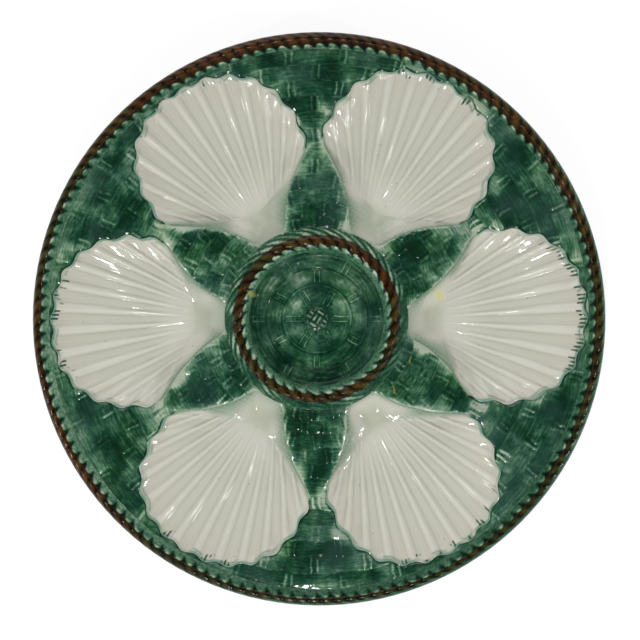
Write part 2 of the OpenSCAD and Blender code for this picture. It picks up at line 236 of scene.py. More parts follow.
@dataclass(frozen=True)
class Piece:
    """One finished surface: points in millimetres, faces, and a value of each field at each point."""

    name: str
    points: Array
    faces: list
    fields: dict

    @classmethod
    def capped(cls, name: str, grid: Array, fields: dict) -> "Piece":
        """Closes rows carried round, whose first and last row are one point each.

        Args:
            name: Name of the piece.
            grid: Points (rows, columns, 3), from the upper pole out and back to the lower one.
            fields: Values at the same points.

        Returns:
            The piece.
        """
        rows, columns = grid.shape[0] - 2, grid.shape[1]
        number = 1 + np.arange(rows * columns).reshape(rows, columns)
        after = np.roll(number, -1, 1)
        quads = np.stack([number[:-1], number[1:], after[1:], after[:-1]], -1).reshape(-1, 4)
        top = np.stack([0 * number[0], number[0], after[0]], -1)
        bottom = np.stack([number[-1], 0 * number[0] + number.size + 1, after[-1]], -1)

        def listed(value: Array) -> Array:
            """Rows one after another, with a single point for each pole."""
            middle = value[1:-1].reshape(-1, *value.shape[2:])
            return np.concatenate([value[:1, 0], middle, value[-1:, 0]])

        faces = quads.tolist() + top.tolist() + bottom.tolist()
        return cls(name, listed(grid), faces, {key: listed(value) for key, value in fields.items()})

    @classmethod
    def ring(cls, name: str, grid: Array, fields: dict, clockwise: bool) -> "Piece":
        """Closes a section carried once round.

        Args:
            name: Name of the piece.
            grid: Points (round, section, 3).
            fields: Values at the same points.
            clockwise: Whether the section runs so that its faces have to be turned over.

        Returns:
            The piece.
        """
        number = np.arange(grid.shape[0] * grid.shape[1]).reshape(grid.shape[:2])
        up = np.roll(number, -1, 1)
        quads = np.stack([number, up, np.roll(up, -1, 0), np.roll(number, -1, 0)], -1).reshape(-1, 4)
        faces = quads[:, ::-1] if clockwise else quads
        values = {key: value.reshape(-1, *value.shape[2:]) for key, value in fields.items()}
        return cls(name, grid.reshape(-1, 3), faces.tolist(), values)

    @classmethod
    def slab(
        cls, name: str, plane: tuple, heights: tuple, kept: Array, fields: dict, wrap: bool
    ) -> "Piece":
        """Closes a slab over the kept cells of a grid: a top, a bottom, and a wall at each border.

        A cell (i, j) has its corners at rows i and i + 1 and at columns j and j + 1. Rows run
        outward and columns anticlockwise.

        Args:
            name: Name of the piece.
            plane: Places x and y of the grid's points.
            heights: Heights of the upper and of the lower surface there.
            kept: Which cells stand, (rows - 1, cells round).
            fields: Values at the upper points; the lower points take the same.
            wrap: Whether the last column is followed by the first.

        Returns:
            The piece, without unused points.
        """
        columns, under = plane[0].shape[1], plane[0].size
        i, j = np.nonzero(kept)
        n = (j + 1) % columns if wrap else j + 1
        a, b, c, d = (row * columns + column for row, column in ((i, j), (i + 1, j), (i + 1, n), (i, n)))
        quads = [np.stack([a, b, c, d], -1), np.stack([d, c, b, a], -1) + under]
        padded = np.zeros((kept.shape[0] + 2, kept.shape[1] + 2), bool)
        padded[1:-1, 1:-1] = kept
        if wrap:
            padded[1:-1, 0], padded[1:-1, -1] = kept[:, -1], kept[:, 0]
        for start, end, di, dj in ((a, b, 0, -1), (b, c, 1, 0), (c, d, 0, 1), (d, a, -1, 0)):
            open_side = ~padded[i + 1 + di, j + 1 + dj]
            p, q = start[open_side], end[open_side]
            quads.append(np.stack([q, p, p + under, q + under], -1))
        faces = np.concatenate(quads)
        used, renumbered = np.unique(faces, return_inverse=True)
        points = np.concatenate([np.stack([*plane, z], -1).reshape(-1, 3) for z in heights])[used]
        values = {
            key: value.reshape(under, *value.shape[2:])[used % under] for key, value in fields.items()
        }
        return cls(name, points, renumbered.reshape(faces.shape).tolist(), values)

    def settle(self, material: bpy.types.Material, slot: Slot, *nodes: str) -> None:
        """Puts the piece into the scene in the place of its solids.

        The place is in the mesh, and the fields are attributes of its points.

        Args:
            material: Its material.
            slot: Slot of the record that its finish belongs to; not used.
            nodes: Names of the solids that it stands for.
        """
        mesh = bpy.data.meshes.new(self.name)
        mesh.from_pydata((self.points * MM).tolist(), [], self.faces)
        drip = stray_drips(self.points[:, 0], self.points[:, 1])
        for name, values in (*self.fields.items(), ("drip", drip)):
            kind, key = ("FLOAT_VECTOR", "vector") if values.ndim == 2 else ("FLOAT", "value")
            layer = mesh.attributes.new(name, kind, "POINT")
            layer.data.foreach_set(key, values.astype(np.float32).ravel())
        mesh.polygons.foreach_set("use_smooth", np.ones(len(mesh.polygons), bool))
        mesh.set_sharp_from_angle(angle=math.radians(CRISP_DEGREES))
        mesh.update()
        mesh.materials.append(material)
        thing = bpy.data.objects.new(self.name, mesh)
        bpy.context.scene.collection.objects.link(thing)
        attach(thing, BODY)
        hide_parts(*nodes)
        LOG.info("%s: %d points, %d faces", self.name, len(self.points), len(self.faces))


@dataclass(frozen=True)
class ShellOutline:
    """Outline of a shell well in its own plan: a scalloped fan, hollow shoulders and a short hinge."""

    sizes: PlateSizes
    shell_gap: float = 5.4
    fan_shift: float = 1.3
    tip_gap: float = 0.9
    hinge_gap: float = 1.5
    hinge_w: float = 15.0
    hinge_shift: float = 0.8
    lobes: int = 13
    fan_angle: float = 104.0
    lobe_out: float = 1.3
    flank_out: float = 2.0
    shoulder_bow: float = 3.1
    corner_round: float = 2.3
    lobe_swing: float = 1.6
    deep_u: float = 54.0
    rib_root_u: float = 36.0
    columns: int = 600

    @property
    def hinge_u(self) -> float:
        """Distance of the hinge edge from the plate's centre."""
        return self.sizes.centre_out_r + self.hinge_gap

    def fan_point(self, angle: Array, more: float) -> Array:
        """Edge of the fan on a ray from its focus: a circle, plus the flanks' swell, plus more.

        Args:
            angle: Angles of the rays in degrees.
            more: How far past the edge the points stand.

        Returns:
            Points (n, 2).
        """
        focus = np.array([self.hinge_u - 0.7, 0.0])
        reach = self.sizes.rim_in_r - self.tip_gap - self.lobe_out
        share = math.sin(math.pi / self.sizes.wells)
        radius = (reach * share - self.shell_gap / 2) / (1 + share)
        middle = np.array([reach - radius, self.fan_shift]) - focus
        ray = np.stack(plan(1.0, np.radians(angle)), -1)
        along = ray @ middle
        aside = middle @ middle - along * along
        flank = self.flank_out * np.sin(np.radians(180 * angle / (self.fan_angle / 2))) ** 2
        return focus + ray * (along + np.sqrt(radius * radius - aside) + flank + more)[:, None]

    def trace(self) -> dict:
        """Works out the outline once round, anticlockwise, in equal steps.

        The plain outline is smoothed by a bell curve of corner_round mm, and each lobe then
        swings out along the normal as a cosine of the lobe's number.

        Returns:
            points, angle and radius about the deepest place, slant (cosine between ray and
            normal), fan and hinge (how much of each a point is).
        """
        angle = np.linspace(-self.fan_angle / 2, self.fan_angle / 2, 500)
        fan = self.fan_point(angle, self.lobe_out / 2)
        t = np.linspace(0, 1, 160)[:, None]
        # The shoulder's bow, as a share of its full depth, at shares of the shoulder's length
        bow = np.interp(t, [0, 0.08, 0.28, 0.62, 0.77, 0.9, 1], [0, 0.4, 1, 1, 0.605, 0.263, 0])
        corner, shoulder = {}, {}
        for side, ear in ((-1, fan[0]), (1, fan[-1])):
            corner[side] = np.array([self.hinge_u, side * self.hinge_w / 2 - self.hinge_shift])
            run = ear - corner[side]
            inward = side * np.array([run[1], -run[0]]) / np.hypot(*run)
            shoulder[side] = corner[side] + t * run + self.shoulder_bow * bow * inward
        hinge = corner[1] + t * (corner[-1] - corner[1])
        parts = [fan, shoulder[1][-2:0:-1], hinge, shoulder[-1][1:-1]]
        part = np.repeat(range(4), [len(points) for points in parts])
        data = np.column_stack([np.concatenate(parts), part == 0, part == 2])
        lobe = np.full(len(data), self.lobes / 2)
        lobe[:len(fan)] = angle * self.lobes / self.fan_angle
        data = np.concatenate([data, data[:1]])
        length = np.concatenate([[0], np.cumsum(np.hypot(*np.diff(data[:, :2], axis=0).T))])
        place = np.arange(self.columns) / self.columns * length[-1]
        data = np.column_stack([np.interp(place, length, column) for column in data.T])
        lobe = np.interp(place, length[:-1], lobe)
        wave = np.fft.rfftfreq(self.columns, length[-1] / self.columns)
        blur = np.exp(-2 * (math.pi * self.corner_round * wave) ** 2)
        data = np.fft.irfft(np.fft.rfft(data, axis=0) * blur[:, None], self.columns, axis=0)
        base, fan_mark, hinge_mark = data[:, :2], data[:, 2], data[:, 3]
        along = np.roll(base, -1, 0) - np.roll(base, 1, 0)
        normal = np.stack([along[:, 1], -along[:, 0]], -1) / np.hypot(*along.T)[:, None]
        swing = self.lobe_swing / 2 * np.cos(2 * math.pi * lobe) * smooth_step(fan_mark, 0.5, 1)
        points = base + normal * swing[:, None]
        arm = points - [self.deep_u, 0]
        radius = np.hypot(*arm.T)
        return {
            "points": points, "angle": np.arctan2(arm[:, 1], arm[:, 0]), "radius": radius,
            "slant": np.clip((arm * normal).sum(1) / radius, 0.4, 1),
            "fan": fan_mark.clip(0, 1), "hinge": hinge_mark.clip(0, 1),
        }

    def lobe_number(self, u: Array, v: Array) -> Array:
        """Which lobe a point lies in, as a running number: 0 on the axis, ribs at the halves.

        The ribs are straight and meet at the root behind the hinge; each ends where the
        fan's edge turns in between two lobes.

        Args:
            u: Places along the well, in millimetres.
            v: Places across it.

        Returns:
            The lobe's number at each place.
        """
        angle = np.linspace(-self.fan_angle / 2 - 6, self.fan_angle / 2 + 6, 200)
        edge = self.fan_point(angle, 0.0)
        rib = np.arctan2(edge[:, 1], edge[:, 0] - self.rib_root_u)
        return np.interp(np.arctan2(v, u - self.rib_root_u), rib, angle * self.lobes / self.fan_angle)


class WellForm:
    """Heights of the wells, inside and underneath, and where a point of the plate lies in them."""

    def __init__(self, sizes: PlateSizes, outline: ShellOutline) -> None:
        """Keeps the traced outline, with its angles in rising order for look-up."""
        self.sizes = sizes
        self.outline = outline
        self.edge = outline.trace()
        order = np.argsort(self.edge["angle"])
        names = ("angle", "radius", "slant", "fan", "hinge")
        self.table = {name: self.edge[name][order] for name in names}

    def locate(self, x: Array, y: Array) -> dict:
        """Finds points of the plate in the plan of the nearest well.

        Args:
            x: Places across the plate, in millimetres.
            y: Places up the plate.

        Returns:
            angle about the deepest place, share of the way to the outline, edge (distance
            inside it, in mm), fan and hinge marks.
        """
        turn = self.sizes.well_turn
        u, v = plan(np.hypot(x, y), (np.arctan2(y, x) + turn / 2) % turn - turn / 2)
        angle = np.arctan2(v, u - self.outline.deep_u)
        found = {
            name: np.interp(angle, self.table["angle"], values, period=2 * math.pi)
            for name, values in self.table.items()
        }
        share = np.hypot(u - self.outline.deep_u, v) / found["radius"]
        edge = (1 - share) * found["radius"] * found["slant"]
        return {**found, "angle": angle, "share": share, "edge": edge}

    def clear(self, x: Array, y: Array, wrap: bool) -> tuple:
        """Moves the points of a grid that lie in a well out to a line just inside its outline.

        A point moves along the slope of its distance from the outline, which is taken from
        two more look-ups a small step away.

        Args:
            x: Places across the plate, in millimetres, as a grid.
            y: Places up the plate.
            wrap: Whether the last column is followed by the first.

        Returns:
            The new places, and which cells have a corner outside the wells.
        """
        step, tuck = 0.05, 0.25
        edge = self.locate(x, y)["edge"]
        slope_x = (self.locate(x + step, y)["edge"] - edge) / step
        slope_y = (self.locate(x, y + step)["edge"] - edge) / step
        push = np.clip(edge - tuck, 0, 2.0) / (slope_x ** 2 + slope_y ** 2)
        least = np.minimum(edge, np.roll(edge, -1, 1))[:, :None if wrap else -1]
        kept = np.minimum(least[1:], least[:-1]) < 0
        return x - push * slope_x, y - push * slope_y, kept

    def depth(self, share: Array, angle: Array) -> Array:
        """Share of the full depth: 1 less a power of the way from the deepest place to the outline.

        The power is 1.8 toward the fan, for a long slope, and 2.7 at the sides and the hinge.
        """
        return 1 - share ** (1.8 + 0.9 * smooth_step(np.abs(angle), 0.2, 1.6))

    def underside(self, x: Array, y: Array) -> Array:
        """Height of the plate's underside: a wall below the ground, and bulging down under wells.

        The depth is kept above 0 softly: half the sum of it and the root of its square plus the
        bend's square, less a bell curve of half the bend.

        Args:
            x: Places across the plate, in millimetres.
            y: Places up the plate.

        Returns:
            Heights in millimetres.
        """
        sizes, bend = self.sizes, 0.06
        r = np.hypot(x, y)
        base = sizes.ground_z(r) - sizes.weave_t
        place = self.locate(x, y)
        depth = self.depth(place["share"], place["angle"])
        depth = 0.5 * (depth + np.sqrt(depth ** 2 + bend ** 2)) - 0.5 * bend * bell(depth, bend, 1)
        rim = 0.22 * np.clip(r - sizes.rim_in_r, 0, None)
        return base + (sizes.floor_z - base) * depth - sizes.wall + rim


class Weave:
    """Basket weave of the ground, as a height and as a measure of how dark it is painted: where the
    glaze pools, with painted shade and a painted sheen.
    """

    STRANDS = 5

    def __init__(self, sizes: PlateSizes) -> None:
        """Keeps the sizes and draws the small shifts that the modeller's hand gave each stake."""
        self.sizes = sizes
        draw = np.random.RandomState(7)
        count = (sizes.weave_bands + 1, sizes.stakes + 1)
        self.shift = draw.uniform(-0.5, 0.5, count)
        self.bulge = draw.uniform(0.6, 1.15, count)
        self.lean = draw.uniform(-0.9, 0.9, count)
        self.boldness = draw.uniform(0.15, 1.0, (*count, 2))
        self.tone = draw.uniform(-1, 1, count)

    def relief(self, r: Array, theta: Array) -> tuple:
        """Height of the weave above the ground.

        Each band is a flat swell of fine strands that dips where it passes under a stake,
        and each stake shows as two thin bars across the band. Bands and bars wander a little,
        and each bar is bold or faint, as the modeller's hand left them.

        Args:
            r: Distances from the plate's centre, in millimetres.
            theta: Angles round the plate, in radians.

        Returns:
            Height in millimetres, how much of a bar each point is, and how much darker than
            its neighbours the point is painted: glaze lying thicker or thinner, with painted shade
            beside the bars and a painted sheen along the bands' edges.
        """
        sizes = self.sizes
        at = partial(drift, *plan(r, theta))
        k = sizes.weave_bands * sizes.climb(r + 0.32 * at(13.0, 21) + 0.14 * at(4.5, 22)) ** (
            1 / sizes.weave_growth
        )
        band = np.clip(np.floor(k), 0, sizes.weave_bands - 1).astype(int)
        f = np.clip(k - band, 0, 1)
        step = 2 * math.pi / sizes.stakes
        turn = (theta % (2 * math.pi)) / step - np.where(band % 2 == 0, 0.5, 0.0)
        stake = np.round(turn).astype(int)
        index = stake % sizes.stakes
        off = (turn - stake) * step * r - self.shift[band, index]
        off = off + self.lean[band, index] * (f - 0.5) + 0.18 * at(5.0, 23)
        between = np.clip(np.abs(turn - stake) * 2, 0, 1)
        across = np.clip(np.sin(math.pi * f), 0, 1) ** 1.1
        strand = np.abs(np.sin(math.pi * (self.STRANDS * f + 0.25 * at(7.0, 24)))) ** 0.7
        lift = 0.5 + 0.5 * np.sin(0.5 * math.pi * between) * self.bulge[band, index]
        cloth = sizes.weave_swell * across * lift - 0.08 * (1 - strand) * across
        ends = smooth_step(np.minimum(f, 1 - f), 0.02, 0.2)
        bold = self.boldness[band, index, (off > 0).astype(int)]
        from_bar = np.abs(off) - sizes.bar_pitch / 2
        bar = bell(from_bar, 0.66 * sizes.bar_w) * ends
        gap = bell(off, 0.8, 4) * ends
        beside_bar_shade = bell(from_bar - 1.0, 0.5) * ends
        crest = sizes.weave_swell * (0.62 + 0.3 * bold)
        height = cloth * (1 - 0.15 * gap) * (1 - bar) + bar * crest
        height = height + (0.025 * at(2.6, 25) + 0.06 * at(6.0, 26)) * across
        # A broken pale line along each band's edges, strongest at the outer one, is a painted sheen.
        border = bell(1 - f, 0.045) + 0.4 * bell(f, 0.05)
        dark = 0.16 * self.tone[band, np.floor(turn).astype(int) % sizes.stakes]
        dark = dark - 0.38 * border * np.clip(0.55 + 0.45 * at(9.0, 27), 0, 1)
        # Painted shade beside each pair of bars, where the cloth dips under the stake; darker between
        # the bars and between the fine strands, where the glaze lies thicker.
        dark = dark + 0.17 * (1 - strand) * across + 0.14 * (gap + beside_bar_shade) * bold
        return height, bar * bold, dark


def hex_to_linear(code: str) -> tuple:
    """Turns an sRGB hex colour such as #2f6b50 into linear red, green, blue and alpha 1."""
    channels = [int(code[k:k + 2], 16) / 255 for k in (1, 3, 5)]
    linear = [c / 12.92 if c <= 0.04045 else ((c + 0.055) / 1.055) ** 2.4 for c in channels]
    return (*linear, 1.0)


def add_node(
    tree: bpy.types.NodeTree, kind: str, inputs: dict, out: str = "", **settings: object
) -> Socket | None:
    """Adds one node with its inputs and settings.

    Args:
        tree: Node tree that takes the node.
        kind: Type name of the node, without ShaderNode.
        inputs: Input name or number, and the socket to link to it, or its value or hex colour.
        out: Name of the wanted output, if it isn't the first one in use.
        settings: Attributes of the node; stops is a colour ramp's list of (place, hex colour).

    Returns:
        The wanted output.
    """
    node = tree.nodes.new("ShaderNode" + kind)
    stops = settings.pop("stops", ())
    for name, value in settings.items():
        setattr(node, name, value)
    for number, (place, code) in enumerate(stops):
        ramp = node.color_ramp.elements
        element = ramp[number] if number < len(ramp) else ramp.new(1.0)
        element.position = place
        element.color = hex_to_linear(code)
    for name, value in inputs.items():
        if isinstance(value, Socket):
            tree.links.new(value, node.inputs[name])
        else:
            node.inputs[name].default_value = hex_to_linear(value) if isinstance(value, str) else value
    return next((s for s in node.outputs if (s.name == out if out else s.enabled)), None)


def fresh_tree(owner: bpy.types.ID) -> partial:
    """Empties the node tree of a material or of the world, and gives add_node for it."""
    owner.use_nodes = True
    owner.node_tree.nodes.clear()
    return partial(add_node, owner.node_tree)


@dataclass(frozen=True)
class Glaze:
    """A coloured lead glaze on white earthenware, brushed on, run in the kiln and fired glossy.

    The glaze is glass, so it is smooth, with a faint ripple; over relief it runs off the
    crests, which look pale, and pools in the hollows, which look dark.
    """

    name: str
    roughness: float = 0.1
    ior: float = 1.5
    ripple_mm: float = 2.2
    ripple_depth: float = 0.02
    ripple_strength: float = 0.6
    mottle_gain: float = 2.4
    gloss: float = 0.5
    stray: str = "#b4b457"

    def colour(self, add: partial) -> Socket:
        """Adds the nodes of the glaze's colour, which each kind of glaze has its own of."""
        raise NotImplementedError

    def mottled(self, add: partial, level: object, noises: tuple, fading: bool) -> Socket:
        """Adds noises to a level, each centred on 0 first.

        Args:
            add: Adds a node.
            level: The level, as a socket or a number.
            noises: Pairs of a noise's socket and its weight.
            fading: Whether the noises fade where the level is low and the glaze thin. The level
                is then free to leave the range of 0 to 1, and is otherwise held inside it.

        Returns:
            The mottled level.
        """
        room = 1.0
        if fading:
            room = add("Math", {0: level, 1: self.mottle_gain}, operation="MULTIPLY", use_clamp=True)
        for noise, weight in noises:
            noise = add("Math", {0: noise, 1: -0.5}, operation="ADD")
            noise = add("Math", {0: noise, 1: room}, operation="MULTIPLY")
            sum_of = {0: noise, 1: weight, 2: level}
            level = add("Math", sum_of, operation="MULTIPLY_ADD", use_clamp=not fading)
        return level

    def build(self) -> bpy.types.Material:
        """Builds the material: glossy glass over the colour, with the kiln's ripple and stray drips."""
        material = bpy.data.materials.new(self.name)
        add = fresh_tree(material)
        noise = {"Vector": add("TexCoord", {}, "Object"), "Scale": 1000 / self.ripple_mm, "Detail": 2.0}
        ripple = {
            "Height": add("TexNoise", noise), "Distance": self.ripple_depth * MM,
            "Strength": self.ripple_strength,
        }
        drip = add("Attribute", {}, "Fac", attribute_name="drip")
        colour = add("Mix", {0: drip, 6: self.colour(add), 7: self.stray}, data_type="RGBA")
        shader = add("BsdfPrincipled", {
            "Base Color": colour, "Roughness": self.roughness, "IOR": self.ior,
            "Specular IOR Level": self.gloss, "Normal": add("Bump", ripple),
        })
        add("OutputMaterial", {"Surface": shader})
        return material


@dataclass(frozen=True)
class GreenGlaze(Glaze):
    """Copper green over relief: pale on crests, dark in hollows, here yellower and there greyer."""

    roughness: float = 0.12
    stops: tuple = (
        (0.0, "#b6c1ad"), (0.08, "#94ab92"), (0.18, "#6c9378"), (0.38, "#3f6b50"),
        (0.62, "#1a4833"), (0.88, "#04301f"),
    )
    yellower: str = "#5d8a4c"
    greyer: str = "#33504a"
    patch_mm: float = 11.0
    fleck_mm: float = 2.0
    streak_mm: float = 1.1
    streak_length_mm: float = 6.25
    patch_weight: float = 1.6
    fleck_weight: float = 0.5
    streak_weight: float = 0.6
    pool_shift: float = 0.0

    def colour(self, add: partial) -> Socket:
        """Adds pooling, three sizes of mottle and brush streaks along the weave.

        Args:
            add: Adds a node.

        Returns:
            The colour.
        """
        place = add("TexCoord", {}, "Object")
        pool = add("Attribute", {}, "Fac", attribute_name="pool")
        polar = add("Attribute", {}, "Vector", attribute_name="polar")
        size = (1 / self.streak_mm, 1 / self.streak_length_mm, 1.0)
        brush = add("VectorMath", {0: polar, 1: size}, operation="MULTIPLY")
        noises = tuple(
            (add("TexNoise", {"Vector": at, "Scale": scale, "Detail": 3.0, "Roughness": rough}), weight)
            for at, scale, rough, weight in (
                (place, 1000 / self.patch_mm, 0.55, self.patch_weight),
                (place, 1000 / self.fleck_mm, 0.6, self.fleck_weight),
                (brush, 1.0, 0.5, self.streak_weight),
            )
        )
        level = self.mottled(add, pool, noises, fading=True)
        level = add("Math", {0: level, 1: self.pool_shift}, operation="ADD")
        tone = add("ValToRGB", {0: level}, stops=self.stops)
        scale = 1000 / (1.7 * self.patch_mm)
        noise = {"Vector": place, "W": 3.1, "Scale": scale, "Detail": 2.0}
        hue = add("TexNoise", noise, noise_dimensions="4D")
        for end, most, tint, blend in (
            (0.68, 0.55, self.yellower, "SOFT_LIGHT"), (0.36, 0.4, self.greyer, "MIX")
        ):
            share = add("MapRange", {"Value": hue, "From Min": 0.5, "From Max": end, "To Max": most})
            tone = add("Mix", {0: share, 6: tone, 7: tint}, data_type="RGBA", blend_type=blend)
        return tone


@dataclass(frozen=True)
class ShellGlaze(Glaze):
    """Cream glaze on the shells, thin on the ribs and greyer where it lies in the channels, with painted
    shade in the fine creases beside the ribs.
    """

    ridge: str = "#dcdccf"
    channel: str = "#c6c6b7"
    blush: str = "#d3ccc0"
    hollow: str = "#c9ccb8"
    bleed: str = "#5f886c"
    lip: str = "#779f89"
    stain: str = "#3f7859"
    tick: str = "#1a5038"
    speck: str = "#6e6250"
    stray: str = "#dcdb8c"
    roughness: float = 0.055
    back_level: float = 0.62
    ticks_per_lobe: float = 6.0
    wide_mm: float = 14.0
    fine_mm: float = 1.6
    speck_mm: float = 9.0

    def colour(self, add: partial) -> Socket:
        """Adds ribs, blush, hollow, green lip and stains, brushed ticks, specks and the green back.

        Args:
            add: Adds a node.

        Returns:
            The colour.
        """
        place = add("TexCoord", {}, "Object")
        names = ("pool", "edge", "lobe", "hollow", "bleed", "lip", "stain", "rimward", "back")
        field = {name: add("Attribute", {}, "Fac", attribute_name=name) for name in names}
        wide, fine, patch, fleck = (
            add("TexNoise", {"Vector": place, "Scale": 1000 / size, "Detail": 3.0})
            for size in (self.wide_mm, self.fine_mm, GreenGlaze.patch_mm, GreenGlaze.fleck_mm)
        )
        near = {"Value": field["edge"], "From Min": 14.0, "From Max": 1.0, "To Max": 0.75}
        blush = add("Math", {0: add("MapRange", near), 1: wide}, operation="MULTIPLY")
        turns = {0: field["lobe"], 1: 2 * math.pi * self.ticks_per_lobe}
        wave = add("Math", {0: add("Math", turns, operation="MULTIPLY")}, operation="COSINE")
        reach = add("Math", {0: fine, 1: 4.6, 2: 1.1}, operation="MULTIPLY_ADD")
        reach = add("Math", {0: reach, 1: field["edge"]}, operation="SUBTRACT")
        tick = field["rimward"]
        for value, low, high in ((reach, 0.0, 0.6), (field["edge"], 0.35, 0.6), (wave, -0.3, 0.4)):
            part = add("MapRange", {"Value": value, "From Min": low, "From Max": high})
            tick = add("Math", {0: tick, 1: part}, operation="MULTIPLY")
        speck = add("TexVoronoi", {"Vector": place, "Scale": 1000 / self.speck_mm})
        dot = add("MapRange", {"Value": speck, "From Min": 0.045, "From Max": 0.03, "To Max": 0.5})
        noises = ((patch, GreenGlaze.patch_weight), (fleck, GreenGlaze.fleck_weight))
        level = self.mottled(add, self.back_level, noises, fading=True)
        back = add("ValToRGB", {0: level}, stops=GreenGlaze.stops)
        colour = self.ridge
        for share, over in (
            (field["pool"], self.channel), (blush, self.blush), (field["hollow"], self.hollow),
            (field["bleed"], self.bleed), (field["stain"], self.stain), (field["lip"], self.lip),
            (tick, self.tick), (dot, self.speck), (field["back"], back),
        ):
            colour = add("Mix", {0: share, 6: colour, 7: over}, data_type="RGBA")
        return colour


@dataclass(frozen=True)
class RopeGlaze(Glaze):
    """Iron brown brushed along a rope's crown, with the green of the ground on its two sides."""

    gloss: float = 0.16
    roughness: float = 0.16
    red_stops: tuple = ((0.0, "#683c14"), (0.3, "#45270c"), (0.6, "#2a1706"), (1.0, "#0e0602"))
    olive_stops: tuple = ((0.0, "#4a4b23"), (0.3, "#2f3113"), (0.6, "#1b1c08"), (1.0, "#080802"))
    fleck_mm: float = 1.3
    patch_mm: float = 6.0

    def colour(self, add: partial) -> Socket:
        """Adds pale crests and dark grooves, green at the sides and brown between.

        Args:
            add: Adds a node.

        Returns:
            The colour.
        """
        place = add("TexCoord", {}, "Object")
        names = ("pool", "paint", "warm")
        pool, paint, warm = (add("Attribute", {}, "Fac", attribute_name=name) for name in names)
        fleck, patch = (
            add("TexNoise", {"Vector": place, "Scale": 1000 / size, "Detail": 3.0, "Roughness": 0.6})
            for size in (self.fleck_mm, self.patch_mm)
        )
        level = self.mottled(add, pool, ((fleck, 0.8), (patch, 0.5)), fading=False)
        warm = self.mottled(add, warm, ((patch, 2.2), (fleck, 1.6)), fading=False)
        paint = self.mottled(add, paint, ((fleck, 0.7),), fading=False)
        stops = (GreenGlaze.stops, self.red_stops, self.olive_stops)
        green, red, olive = (add("ValToRGB", {0: level}, stops=each) for each in stops)
        brown = add("Mix", {0: warm, 6: olive, 7: red}, data_type="RGBA")
        edge = add("MapRange", {"Value": paint, "From Min": 0.35, "From Max": 0.65})
        return add("Mix", {0: edge, 6: green, 7: brown}, data_type="RGBA")


